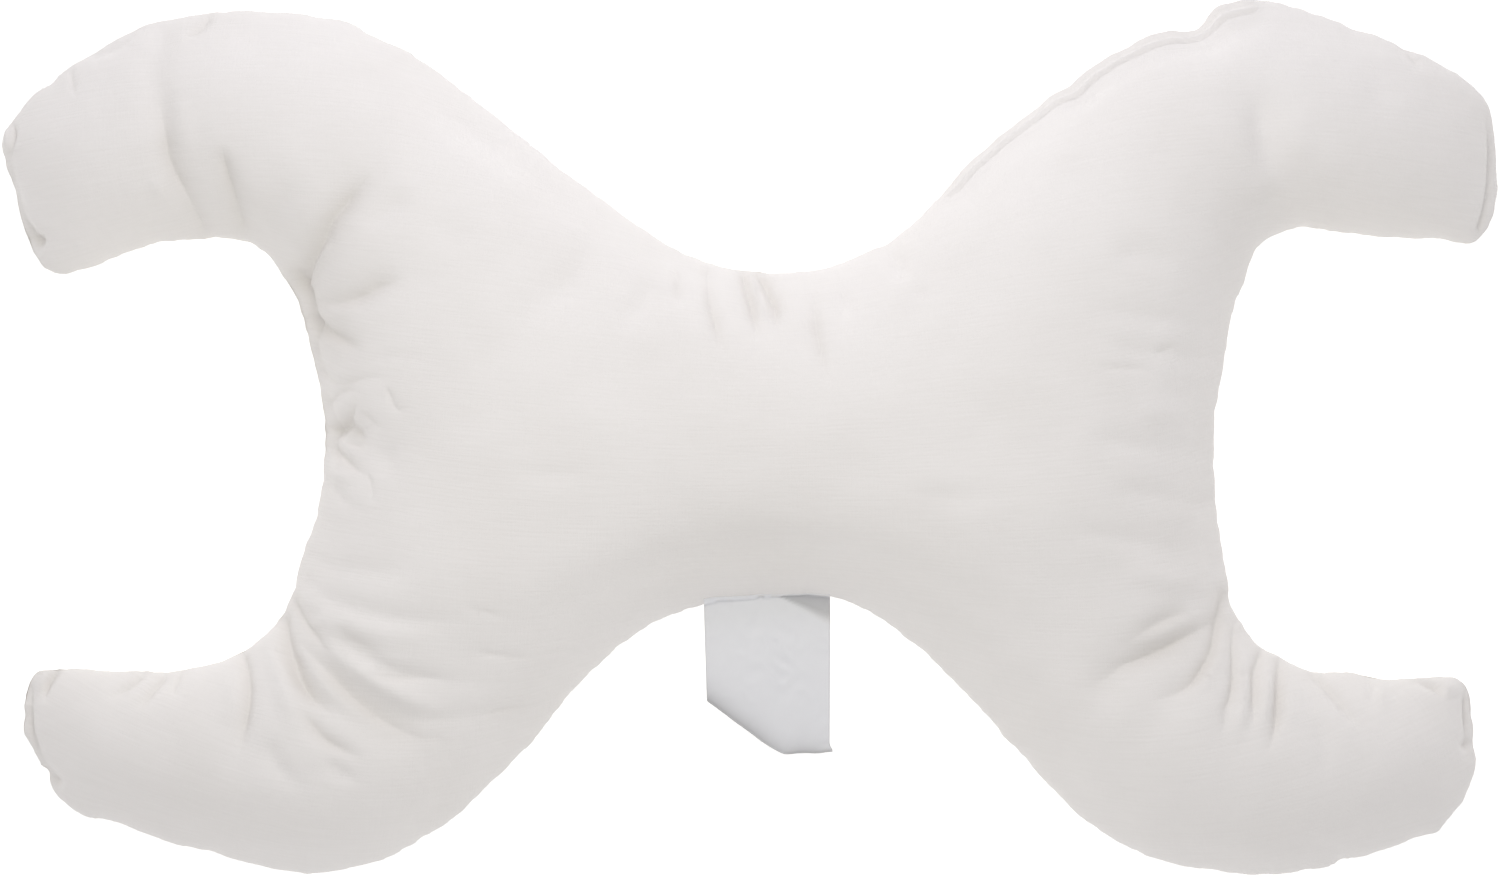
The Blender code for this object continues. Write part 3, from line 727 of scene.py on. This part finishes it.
def keep_outline(mesh):
    """Moves the seam's points out a little, so that smoothing leaves the seam where it was."""
    points = read_points(mesh)
    seam = ordered_seam(mesh)
    share = np.eye(len(seam)) * CRISP_OWN_SHARE
    for step in (-1, 1):
        share += np.roll(np.eye(len(seam)), step, axis=1) * CRISP_NEXT_SHARE
    points[seam] = np.linalg.solve(share, points[seam])
    write_points(mesh, points)


def mark_panels(mesh):
    """Gives each point its panel: 1 on the front, -1 on the back and 0 on the seam."""
    panel = np.zeros(len(mesh.vertices))
    for face in mesh.polygons:
        panel[list(face.vertices)] = 1.0 if face.normal.z > FACES_UP else -1.0
    panel[np.unique(seam_edges(mesh))] = 0.0
    write_attribute(mesh, "panel", panel)


def unwrap_panels(pillow):
    """Lays both panels flat at their real size: one unit of the map is a metre, U along +X."""
    make_active(pillow)
    bpy.ops.object.mode_set(mode="EDIT")
    bpy.ops.mesh.select_all(action="SELECT")
    bpy.ops.uv.unwrap(method="CONFORMAL", margin=PANEL_GAP)
    bpy.ops.object.mode_set(mode="OBJECT")
    mesh = pillow.data
    layer = mesh.uv_layers.active
    flat = np.empty(len(mesh.loops) * 2, np.float32)
    layer.uv.foreach_get("vector", flat)
    flat = flat.reshape(-1, 2).astype(float) @ (1.0, 1.0j)
    corners = flat.reshape(-1, 4)
    across, along = corners[:, 2] - corners[:, 0], corners[:, 3] - corners[:, 1]
    drawn = np.abs((across.conj() * along).imag).sum() / 2
    flat *= math.sqrt(sum(face.area for face in mesh.polygons) / drawn)
    owner = np.array([loop.vertex_index for loop in mesh.loops])
    real = read_points(mesh)[owner][:, :2] @ (1.0, 1.0j)
    on_front = np.repeat([face.normal.z > 0 for face in mesh.polygons], 4)
    for side in (on_front, ~on_front):
        turn = (flat[side].conj() * (real[side] - real[side].mean())).sum()
        flat[side] *= turn / abs(turn)
    layer.uv.foreach_set("vector", np.column_stack([flat.real, flat.imag]).astype(np.float32).ravel())


def seam_edges(mesh):
    return np.array([edge.vertices[:] for edge in mesh.edges if edge.use_seam])


def fill_pillow(pillow):
    """Swells the panels between the seam and the flat base, which stay where they are."""
    mesh = pillow.data
    start = read_points(mesh)
    held = np.union1d(seam_edges(mesh).ravel(), np.flatnonzero(start[:, 2] < ON_BASE))
    cloth = pillow.modifiers.new("filling", "CLOTH")
    cloth.settings.quality = CLOTH_QUALITY
    cloth.settings.mass = CLOTH_MASS
    cloth.settings.tension_stiffness = CLOTH_STIFFNESS
    cloth.settings.compression_stiffness = CLOTH_STIFFNESS
    cloth.settings.bending_stiffness = CLOTH_BENDING
    cloth.settings.use_pressure = True
    cloth.settings.uniform_pressure_force = FILL_PRESSURE
    cloth.settings.vertex_group_mass = point_group(pillow, "held", held)
    cloth.settings.effector_weights.gravity = 0.0
    for step in range(1, FILL_FRAMES + 1):
        bpy.context.scene.frame_set(step)
    graph = bpy.context.evaluated_depsgraph_get()
    moved = read_points(pillow.evaluated_get(graph).to_mesh()) - start
    length = np.linalg.norm(moved, axis=1)[:, None]
    moved *= MOST_SWELL * np.tanh(length / MOST_SWELL) / np.maximum(length, 1e-9)
    pillow.modifiers.remove(cloth)
    bpy.context.scene.frame_set(1)
    ended = start + moved
    ended[:, 2] = np.maximum(ended[:, 2], 0.0)
    write_points(mesh, ended)


# Pillow: creases, seam and lumps, on the filled surface


def crease_distance(places, crease):
    """How far each place is from the crease's path, as a share of its half-width."""
    curve = smooth_path(crease.path)
    away = np.linalg.norm(places[:, None, :] - curve[None, :, :], axis=2).min(axis=1)
    return away / (crease.width * MM)


def rolled(beside):
    """How fully each point follows a stretch of rolled seam: 1 along it and 0 away from it."""
    along = [beside.stretch(roll.start, roll.end, ROLL_FADE) for roll in SEAM_ROLLS]
    return np.max(along, axis=0) * (1.0 - smooth_step(ROLL_LINE_FULL, ROLL_LINE_REACH, beside.away))


def refine_where_creased(pillow, cut):
    """Cuts the faces beside the front's creases and rolled seams in four, for a finer surface."""
    beside_roll = rolled(SeamFrame(pillow.data))
    shape = bmesh.new()
    shape.from_mesh(pillow.data)
    shape.faces.ensure_lookup_table()
    middles = np.array([tuple(face.calc_center_median()) for face in shape.faces])
    facing = np.array([face.normal.z for face in shape.faces]) > 0.1
    near = np.array([beside_roll[[vert.index for vert in face.verts]].max() for face in shape.faces])
    near = near > cut.least_rolled
    for crease in FRONT_CREASES:
        if crease.crisp >= cut.least_crisp:
            box = np.array(crease.path) * MM
            room = (cut.reach + 1) * crease.width * MM
            inside = (middles[:, :2] > box.min(axis=0) - room) & (middles[:, :2] < box.max(axis=0) + room)
            rows = np.flatnonzero(facing & inside.all(axis=1))
            near[rows[crease_distance(middles[rows, :2], crease) < cut.reach]] = True
    edges = {edge for row in np.flatnonzero(near) for edge in shape.faces[row].edges}
    bmesh.ops.subdivide_edges(shape, edges=list(edges), cuts=1, use_grid_fill=True)
    shape.to_mesh(pillow.data)
    shape.free()


def smooth_path(path):
    """A smooth curve through the points of a path in millimetres, as points in metres."""
    ends = np.array(path) * MM
    padded = np.vstack([2 * ends[0] - ends[1], ends, 2 * ends[-1] - ends[-2]])
    curve = []
    for p0, p1, p2, p3 in zip(padded, padded[1:], padded[2:], padded[3:]):
        for t in np.linspace(0.0, 1.0, PATH_STEPS, endpoint=False):
            turn = 2 * p0 - 5 * p1 + 4 * p2 - p3
            curve.append(p1 + (t * (p2 - p0) + t**2 * turn + t**3 * (3 * p1 - p0 - 3 * p2 + p3)) / 2)
    return np.vstack([curve, ends[-1:]])


def crease_drop(places, crease):
    """How deep one crease is at each place, in metres."""
    curve = smooth_path(crease.path)
    width = crease.width * MM
    felt = CREASE_FELT * width
    low, high = curve.min(axis=0) - felt, curve.max(axis=0) + felt
    near = np.flatnonzero(((places > low) & (places < high)).all(axis=1))
    starts, runs = curve[:-1], np.diff(curve, axis=0)
    lengths = np.linalg.norm(runs, axis=1)
    to_places = places[near][:, None, :] - starts
    share = np.clip((to_places * runs).sum(axis=2) / lengths**2, 0.0, 1.0)
    away = np.linalg.norm(to_places - share[:, :, None] * runs, axis=2)
    nearest = away.argmin(axis=1)
    row = np.arange(len(near))
    before = np.concatenate([[0.0], np.cumsum(lengths)])
    along = (before[nearest] + share[row, nearest] * lengths[nearest]) / before[-1]
    strength = np.minimum(
        crease.start + (1 - crease.start) * smooth_step(0.0, CREASE_DEEPENS_BY, along),
        crease.end + (1 - crease.end) * (1 - smooth_step(CREASE_FADES_FROM, 1.0, along)),
    )
    drop = np.zeros(len(places))
    profile = np.exp(-((away[row, nearest] / width) ** (2 - crease.crisp)))
    drop[near] = CREASE_SHARE * crease.depth * MM * strength * profile
    return drop


def all_creases(places, creases):
    return sum(crease_drop(places, crease) for crease in creases)


def ordered_seam(mesh):
    """The seam's points in order round the pillow."""
    beside = {}
    for a, b in seam_edges(mesh).tolist():
        beside.setdefault(a, []).append(b)
        beside.setdefault(b, []).append(a)
    order = [min(beside)]
    ahead = beside[order[0]][0]
    while ahead != order[0]:
        order.append(ahead)
        ahead = [point for point in beside[ahead] if point != order[-2]][0]
    return order


class SeamFrame:
    """Where each point of the pillow lies beside the seam."""

    def __init__(self, mesh):
        points = read_points(mesh)
        seam = points[ordered_seam(mesh)]
        tree = kdtree.KDTree(len(seam))
        for i, point in enumerate(seam):
            tree.insert(point, i)
        tree.balance()
        found = [tree.find(point) for point in points]
        self.nearest = np.array([index for _, index, _ in found])
        self.away = np.array([distance for _, _, distance in found])
        steps = np.linalg.norm(seam - np.roll(seam, 1, axis=0), axis=1)
        self.length = steps.sum()
        self.place = np.cumsum(steps)
        self.seam = seam
        run = np.roll(seam, -1, axis=0) - np.roll(seam, 1, axis=0)
        run[:, 2] = 0.0
        self.run = run / np.linalg.norm(run, axis=1)[:, None]
        area = (seam[:, 0] * np.roll(seam[:, 1], -1) - seam[:, 1] * np.roll(seam[:, 0], -1)).sum()
        side = 1.0 if area > 0 else -1.0
        self.inward = side * np.column_stack([-self.run[:, 1], self.run[:, 0], 0 * self.run[:, 0]])

    def ring_noise(self, run, seed):
        """Noise along the seam that joins up with itself, for each point of the pillow."""
        turn = 2 * math.pi * self.place / self.length
        radius = self.length / (2 * math.pi * run)
        ring = np.column_stack([radius * np.cos(turn), radius * np.sin(turn), turn * 0.0 + seed])
        return noise_at(ring)[self.nearest]

    def stretch(self, start, end, fade):
        """1 for points beside the seam between two places, fading to 0 past them."""
        flat = self.seam[:, :2]
        first = int(distance_to(flat, start).argmin())
        last = int(distance_to(flat, end).argmin())
        a, b = sorted((self.place[first], self.place[last]))
        if b - a > self.length / 2:
            past = np.minimum(np.abs(self.place - b), np.abs(self.place - a))
            inside = (self.place >= b) | (self.place <= a)
        else:
            past = np.minimum(np.abs(self.place - a), np.abs(self.place - b))
            inside = (self.place >= a) & (self.place <= b)
        share = np.where(inside, 1.0, 1.0 - smooth_step(0.0, fade, past))
        return share[self.nearest]


def roll_seam(points, beside, roll):
    """Turns the cloth beside a stretch of seam about an axis inside the pillow."""
    follow = 1.0 - smooth_step(ROLL_FULL, ROLL_REACH, beside.away)
    turn = math.radians(roll.degrees) * follow * beside.stretch(roll.start, roll.end, ROLL_FADE)
    inward = beside.inward[beside.nearest]
    axis_point = beside.seam[beside.nearest] + ROLL_AXIS_INSET * inward
    arm = points - axis_point
    out = -(arm * inward).sum(axis=1)
    up = arm[:, 2]
    new_out = out * np.cos(turn) - up * np.sin(turn)
    new_up = out * np.sin(turn) + up * np.cos(turn)
    return points + (out - new_out)[:, None] * inward + np.outer(new_up - up, (0.0, 0.0, 1.0))


def broad_relief(flat):
    """Height of the broad swells and hollows at each place, in metres."""
    relief = np.zeros(len(flat))
    for shape in BROAD_SHAPES:
        away = (flat / MM - shape.place) / shape.reach
        relief += shape.height * MM * np.exp(-(away**2).sum(axis=1))
    return relief


def push_outline(points, beside):
    """Fills the outline out, with its bumps, notches and small scallops."""
    flat = beside.seam[:, :2]
    push = np.full(len(flat), EDGE_FULLNESS)
    for bump in EDGE_BUMPS:
        push += bump.push * MM * bell(distance_to(flat, bump.place) / (bump.width * MM))
    push = push[beside.nearest] + EDGE_SCALLOP * beside.ring_noise(EDGE_SCALLOP_RUN, EDGE_SCALLOP_SEED)
    push *= 1.0 - smooth_step(0.0, EDGE_FOLLOW, beside.away)
    return points - beside.inward[beside.nearest] * push[:, None]


def shape_surface(pillow):
    """Gives the filled surface its outline, rolled seam, creases, puckers and lumps, and paints shade into
    its crisp creases, along its seam and over its rolled strip and ditch.
    """
    mesh = pillow.data
    beside = SeamFrame(mesh)
    points = push_outline(read_points(mesh), beside)
    panel = read_attribute(mesh, "panel")
    for roll in SEAM_ROLLS:
        points = roll_seam(points, beside, roll)
    write_points(mesh, points)
    normals = read_normals(mesh)
    flat = points[:, :2]
    front = np.clip(panel, 0.0, 1.0)
    front_drop = all_creases(flat, FRONT_CREASES) * front
    back_drop = all_creases(flat, BACK_CREASES) * np.clip(-panel, 0.0, 1.0)
    groove = GROOVE_DEPTH * (1.0 + GROOVE_UNEVEN * beside.ring_noise(GROOVE_RUN, GROOVE_SEED))
    groove *= bell(beside.away / GROOVE_WIDTH)
    fine = FINE_PUCKER * beside.ring_noise(FINE_PUCKER_RUN, FINE_PUCKER_SEED)
    fine *= np.exp(-beside.away / FINE_PUCKER_REACH)
    broad = BROAD_PUCKER * beside.ring_noise(BROAD_PUCKER_RUN, BROAD_PUCKER_SEED)
    broad *= np.exp(-beside.away / BROAD_PUCKER_REACH)
    lumps = LUMP_HEIGHT * noise_at(points / LUMP_SIZE)
    lumps += SMALL_LUMP_HEIGHT * noise_at(points / SMALL_LUMP_SIZE + SMALL_LUMP_SEED)
    lumps += broad_relief(flat) * front
    lumps *= smooth_step(0.0, LUMP_FADE, beside.away)
    line = rolled(beside)
    groove *= 1.0 - line
    ridge = ROLL_RIDGE * bell((beside.away - ROLL_RIDGE_IN) / ROLL_RIDGE_WIDTH) * (panel > 0.0)
    ditch = ROLL_DITCH * bell((beside.away - ROLL_DITCH_IN) / ROLL_DITCH_WIDTH) * (panel > 0.0)
    rise = lumps + fine + broad - groove - front_drop - back_drop + line * (ridge - ditch)
    on_base = points[:, 2] < ON_BASE
    rise[on_base] = -np.abs(BASE_LUMP_SHARE * lumps[on_base] + back_drop[on_base])
    points = points + normals * rise[:, None]
    points[:, 2] = np.maximum(points[:, 2], 0.0)
    write_points(mesh, points)
    # Painted shade: dark in the crisp creases, a dark line along the seam where it isn't rolled, and darker
    # over the rolled strip and in its ditch
    crisp = [crease for crease in FRONT_CREASES if crease.crisp > SHADED_CRISP]
    shade = CREASE_SHADE * np.clip(all_creases(flat, crisp) * front / SHADED_DEPTH, 0.0, 1.0)
    shade += (1.0 - line) * bell(beside.away / SEAM_SHADE_REACH)
    strip = beside.away < ROLL_RIDGE_IN - ROLL_RIDGE_WIDTH
    shade += ROLL_SHADE * line * np.maximum(strip, ditch / ROLL_DITCH)
    write_attribute(mesh, "crease_shade", np.clip(shade, 0.0, 1.0))


def thin_back(pillow):
    """Merges triangles of the back between its base and the seam, where few are needed."""
    mesh = pillow.data
    count = sum(len(face.vertices) - 2 for face in mesh.polygons)
    points = read_points(mesh)
    behind = (points[:, 2] > BACK_LOW) & (points[:, 2] < BACK_HIGH)
    behind &= read_attribute(mesh, "panel") < 0.0
    modifier = pillow.modifiers.new("thin", "DECIMATE")
    modifier.ratio = min(1.0, MOST_TRIANGLES / count)
    modifier.vertex_group = point_group(pillow, "behind", np.flatnonzero(behind))
    apply_modifier(pillow, modifier)


def build_pillow():
    points, faces = with_even_base(*merged_node("pillow"))
    pillow = new_piece("pillow_cotton", points, faces)
    mark_seam(pillow.data)
    mark_panels(pillow.data)
    keep_outline(pillow.data)
    subdivide_smooth(pillow)
    unwrap_panels(pillow)
    fill_pillow(pillow)
    subdivide_smooth(pillow)
    for cut in FINER_CUTS:
        refine_where_creased(pillow, cut)
    shape_surface(pillow)
    thin_back(pillow)
    pillow.data.shade_smooth()
    pillow.data.materials.append(cotton_material())
    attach(pillow, "root")
    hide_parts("pillow")
    return pillow


# Label


def flat_ribbon():
    """The label's flat ribbon, with its cuts along the corner's bend, in millimetres."""
    deselect_all()
    bpy.ops.mesh.primitive_grid_add(
        x_subdivisions=round(LABEL_WIDTH / LABEL_CELL),
        y_subdivisions=round(LABEL_LENGTH / LABEL_CELL),
        size=1.0,
    )
    label = bpy.context.active_object
    label.name = "care_label_ribbon"
    corner_on_left = Vector((0.0, FOLD_LEFT, 0.0))
    run = (Vector((FOLD_END, LABEL_LENGTH, 0.0)) - corner_on_left).normalized()
    to_corner = Vector((-run.y, run.x, 0.0))
    shape = bmesh.new()
    shape.from_mesh(label.data)
    for vert in shape.verts:
        vert.co = Vector(((vert.co.x + 0.5) * LABEL_WIDTH, (0.5 - vert.co.y) * LABEL_LENGTH, 0.0))
    bend_length = FOLD_RADIUS * math.radians(FOLD_TURN)
    for cut in range(FOLD_CUTS + 1):
        bmesh.ops.bisect_plane(
            shape,
            geom=shape.verts[:] + shape.edges[:] + shape.faces[:],
            plane_co=corner_on_left + to_corner * (bend_length * cut / FOLD_CUTS),
            plane_no=to_corner,
        )
    shape.to_mesh(label.data)
    shape.free()
    past = (read_points(label.data) - corner_on_left) @ np.array(to_corner)
    return label, past, np.array(to_corner)


def turned_under(past):
    """How far past the fold line, and how far under the ribbon, points of the corner lie."""
    turn = math.radians(FOLD_TURN)
    on_bend = np.clip(past, 0.0, FOLD_RADIUS * turn)
    flat = np.maximum(past - on_bend, 0.0)
    angle = on_bend / FOLD_RADIUS
    beyond = FOLD_RADIUS * np.sin(angle) + flat * math.cos(turn)
    under = FOLD_RADIUS * (1 - np.cos(angle)) + flat * math.sin(turn)
    return np.where(past > 0.0, beyond, past), under


def drooped(down):
    """How far out and how far down the ribbon is, and its slope, after a length of it."""
    root, end = math.radians(LABEL_ROOT_SLOPE), math.radians(LABEL_END_SLOPE)
    bend = (end - root) / LABEL_LENGTH
    slope = root + bend * down
    out = (np.sin(slope) - math.sin(root)) / bend
    fall = (math.cos(root) - np.cos(slope)) / bend
    return out, fall, slope


def ribbon_relief(across, down):
    """Height of the ribbon's dip by the seam, its crumpling, its bent end and its curled tip."""
    line = DIP_END * (across - DIP_START) / (LABEL_WIDTH - DIP_START)
    share = np.clip(down / np.maximum(line, LEAST_DIP), 0.0, 1.0)
    floor_start, floor_end = DIP_FLOOR
    dip = smooth_step(0.0, floor_start, share) * (1 - smooth_step(floor_end, 1.0, share))
    relief = -DIP_DEPTH * np.clip(line / DIP_END, 0.0, 1.0) * dip
    from_crumple = (np.column_stack([across, down]) - CRUMPLE_PLACE) / CRUMPLE_REACH
    middle = np.exp(-(from_crumple**2).sum(axis=1))
    places = np.column_stack([across, down, np.full(len(down), CRUMPLE_SEED)]) / CRUMPLE_SIZE
    crumple = 1 - CRUMPLE_SHARPNESS * np.abs(noise_at(places))
    relief += CRUMPLE_DEPTH * (CRUMPLE_ALL_OVER + CRUMPLE_IN_MIDDLE * middle) * crumple
    wave = np.sin(2 * math.pi * across / WAVE_LENGTH)
    relief += WAVE_DEPTH * wave * smooth_step(WAVE_START, LABEL_LENGTH, down)
    tip = np.hypot(LABEL_WIDTH - across, LABEL_LENGTH - down)
    relief -= CURL_DROP * (1 - smooth_step(0.0, CURL_REACH, tip))
    to_end = np.clip((LABEL_LENGTH - down) / END_BEND_REACH, 0.0, 1.0)
    relief -= END_BEND_DROP * (1 - to_end) ** 2
    return relief, dip * (line > 0.0)


def arch_seam(pillow, across):
    """The Y and Z of the pillow's seam in the bottom arch, in millimetres, at some X."""
    seam = read_points(pillow.data)[ordered_seam(pillow.data)] / MM
    from_middle = np.abs(seam[:, 0] - LABEL_LEFT - LABEL_WIDTH / 2)
    near = seam[(seam[:, 1] < 0) & (from_middle < LABEL_WIDTH)]
    near = near[near[:, 0].argsort()]
    return np.interp(across, near[:, 0], near[:, 1]), np.interp(across, near[:, 0], near[:, 2])


def height_under(pillow, flat):
    """The height of the pillow's front under each place, and 0 where it isn't under it."""
    tree = BVHTree.FromObject(pillow, bpy.context.evaluated_depsgraph_get())
    down = Vector((0.0, 0.0, -1.0))
    hits = [tree.ray_cast(Vector((x, y, LOOK_DOWN_FROM)) * MM, down)[0] for x, y in flat]
    return np.array([hit.z / MM if hit else 0.0 for hit in hits])


def build_label(pillow):
    label, past, to_corner = flat_ribbon()
    flat = read_points(label.data)
    across, down = flat[:, 0], flat[:, 1]
    relief, dip = ribbon_relief(across, down)
    beyond, under = turned_under(past)
    flat = flat + np.outer(beyond - past, to_corner)
    seam_y, seam_z = arch_seam(pillow, LABEL_LEFT + across)
    root_y = seam_y.max()
    to_seam = ROOT_FOLLOW * (root_y - seam_y) - LABEL_ROOT_IN
    out, fall, slope = drooped(to_seam + flat[:, 1] * (1 - to_seam / LABEL_LENGTH))
    lift = relief - under
    slant = LEFT_SLANT * down / LABEL_LENGTH * (1 - across / LABEL_WIDTH)
    flare = smooth_step(LABEL_LENGTH - RIGHT_FLARE_RUN, LABEL_LENGTH, down)
    slant += RIGHT_FLARE * across / LABEL_WIDTH * flare
    points = np.column_stack([
        LABEL_LEFT + flat[:, 0] + slant,
        root_y - out - lift * np.sin(slope),
        seam_z.mean() - fall + lift * np.cos(slope),
    ])
    resting = height_under(pillow, points[:, :2]) + LABEL_CLEAR
    points[:, 2] = np.maximum(points[:, 2], resting)
    write_points(label.data, points * MM)
    # Painted shade: in the dip under the pillow's edge, and along the bent end and the folded corner's edge
    edge = np.clip(np.minimum(LABEL_LENGTH - down, FOLD_RADIUS - past), 0.0, None)
    shade = DIP_SHADE * dip + EDGE_SHADE * np.exp(-edge / EDGE_SHADE_REACH)
    write_attribute(label.data, "ribbon_shade", np.clip(shade, 0.0, 1.0))
    label.location = (0.0, 0.0, 0.0)
    thicken = label.modifiers.new("ribbon", "SOLIDIFY")
    thicken.thickness = LABEL_THICKNESS * MM
    thicken.offset = 0.0
    apply_modifier(label, thicken)
    label.data.shade_smooth()
    label.data.materials.append(ribbon_material())
    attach(label, "root")
    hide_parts("care_label")


# Materials


def add_node(tree, kind, **inputs):
    """A shader node with its plain values set, and its links made, by input name."""
    node = tree.nodes.new(kind)
    for name, value in inputs.items():
        socket = node.inputs[name.replace("_", " ")]
        if isinstance(value, bpy.types.NodeSocket):
            tree.links.new(value, socket)
        else:
            socket.default_value = value
    return node


def math_node(tree, operation, first, second=0.0):
    node = tree.nodes.new("ShaderNodeMath")
    node.operation = operation
    for socket, value in zip(node.inputs, (first, second)):
        if isinstance(value, bpy.types.NodeSocket):
            tree.links.new(value, socket)
        else:
            socket.default_value = value
    return node.outputs[0]


def colour_between(tree, share, first, second):
    """A mix of two colours by a share from 0 to 1."""
    mix = tree.nodes.new("ShaderNodeMix")
    mix.data_type = "RGBA"
    tree.links.new(share, mix.inputs["Factor"])
    sides = [socket for socket in mix.inputs if socket.type == "RGBA"]
    sides[0].default_value = first
    sides[1].default_value = second
    return [socket for socket in mix.outputs if socket.type == "RGBA"][0]


def painted(tree, name):
    """The shade that the piece's own points hold."""
    shade = tree.nodes.new("ShaderNodeAttribute")
    shade.attribute_name = name
    return shade.outputs["Fac"]


def tint_past(tree, pattern, middle, strength):
    """A tint that grows as the pattern goes past its middle."""
    return math_node(tree, "MULTIPLY", math_node(tree, "SUBTRACT", pattern, middle), strength)


def streaks(tree, places, scale, detail):
    """Noise that is stretched along one way of the cloth."""
    stretched = add_node(tree, "ShaderNodeMapping", Vector=places, Scale=scale)
    grain = add_node(tree, "ShaderNodeTexNoise", Vector=stretched.outputs[0], Scale=1.0, Detail=detail)
    return grain.outputs[0]


def weave_height(tree, places, pitch):
    """Plain weave: yarns over and under each other, one pitch apart."""
    scaled = add_node(tree, "ShaderNodeMapping", Vector=places, Scale=(1 / pitch, 1 / pitch, 1.0))
    apart = add_node(tree, "ShaderNodeSeparateXYZ", Vector=scaled.outputs[0])
    across = math_node(tree, "SINE", math_node(tree, "MULTIPLY", apart.outputs["X"], math.pi))
    along = math_node(tree, "SINE", math_node(tree, "MULTIPLY", apart.outputs["Y"], math.pi))
    checks = add_node(tree, "ShaderNodeTexChecker", Vector=scaled.outputs[0], Scale=1.0)
    mix = add_node(
        tree, "ShaderNodeMix", Factor=checks.outputs["Fac"],
        A=math_node(tree, "ABSOLUTE", across), B=math_node(tree, "ABSOLUTE", along),
    )
    return mix.outputs[0]


def cotton_material():
    material, tree, shader = new_material("plain woven cotton")
    shader.inputs["Roughness"].default_value = COTTON_ROUGHNESS
    shader.inputs["Sheen Weight"].default_value = COTTON_SHEEN
    shader.inputs["Sheen Roughness"].default_value = COTTON_SHEEN_ROUGHNESS
    places = tree.nodes.new("ShaderNodeUVMap").outputs["UV"]
    slubs = streaks(tree, places, SLUB_SCALE, 3.0)
    warp = streaks(tree, places, WARP_SCALE, 2.0)
    cloud = add_node(tree, "ShaderNodeTexNoise", Vector=places, Scale=CLOUD_SCALE, Detail=2.0)
    worn = tint_past(tree, slubs, SLUB_MIDDLE, SLUB_TINT)
    cloudy = tint_past(tree, cloud.outputs[0], CLOUD_MIDDLE, CLOUD_TINT)
    # Painted shade of the crisp creases, the seam and the rolled strip, added to the yarns' and clouds' own
    # tint
    shade = math_node(tree, "MULTIPLY", painted(tree, "crease_shade"), SHADE_TINT)
    tint = math_node(tree, "ADD", math_node(tree, "ADD", worn, cloudy), shade)
    colour = colour_between(tree, tint, COTTON_LIGHT, COTTON_SHADE)
    tree.links.new(colour, shader.inputs["Base Color"])
    yarns = add_node(
        tree, "ShaderNodeBump", Height=weave_height(tree, places, YARN_PITCH),
        Strength=YARN_STRENGTH, Distance=YARN_HEIGHT,
    )
    thick = math_node(tree, "ADD", slubs, math_node(tree, "MULTIPLY", warp, WARP_SHARE))
    uneven = add_node(
        tree, "ShaderNodeBump", Height=thick, Normal=yarns.outputs[0],
        Strength=THICK_YARN_STRENGTH, Distance=THICK_YARN_HEIGHT,
    )
    tree.links.new(uneven.outputs[0], shader.inputs["Normal"])
    return material


def ribbon_material():
    material, tree, shader = new_material("woven satin ribbon")
    # The ribbon's colour, darkened by the painted shade of its dip and bent edges
    colour = colour_between(tree, painted(tree, "ribbon_shade"), RIBBON_COLOUR, RIBBON_SHADE)
    tree.links.new(colour, shader.inputs["Base Color"])
    shader.inputs["Roughness"].default_value = RIBBON_ROUGHNESS
    shader.inputs["Sheen Weight"].default_value = RIBBON_SHEEN
    places = tree.nodes.new("ShaderNodeUVMap").outputs["UV"]
    sized = add_node(
        tree, "ShaderNodeMapping", Vector=places, Scale=(LABEL_WIDTH, LABEL_LENGTH, 1.0),
    ).outputs[0]
    apart = add_node(tree, "ShaderNodeSeparateXYZ", Vector=sized)
    turns = math_node(tree, "MULTIPLY", apart.outputs["Y"], 2 * math.pi / RIBBON_RIB)
    ribs = math_node(tree, "SINE", turns)
    edge = math_node(tree, "ABSOLUTE", math_node(tree, "SUBTRACT", apart.outputs["X"], LABEL_WIDTH / 2))
    selvedge = math_node(tree, "GREATER_THAN", edge, LABEL_WIDTH / 2 - SELVEDGE_WIDTH)
    raised = math_node(tree, "ADD", ribs, math_node(tree, "MULTIPLY", selvedge, SELVEDGE_RISE))
    bump = add_node(
        tree, "ShaderNodeBump", Height=raised, Strength=RIB_STRENGTH, Distance=RIB_HEIGHT,
    )
    tree.links.new(bump.outputs[0], shader.inputs["Normal"])
    return material


add_camera()
light_scene()
add_floor()
build_label(build_pillow())
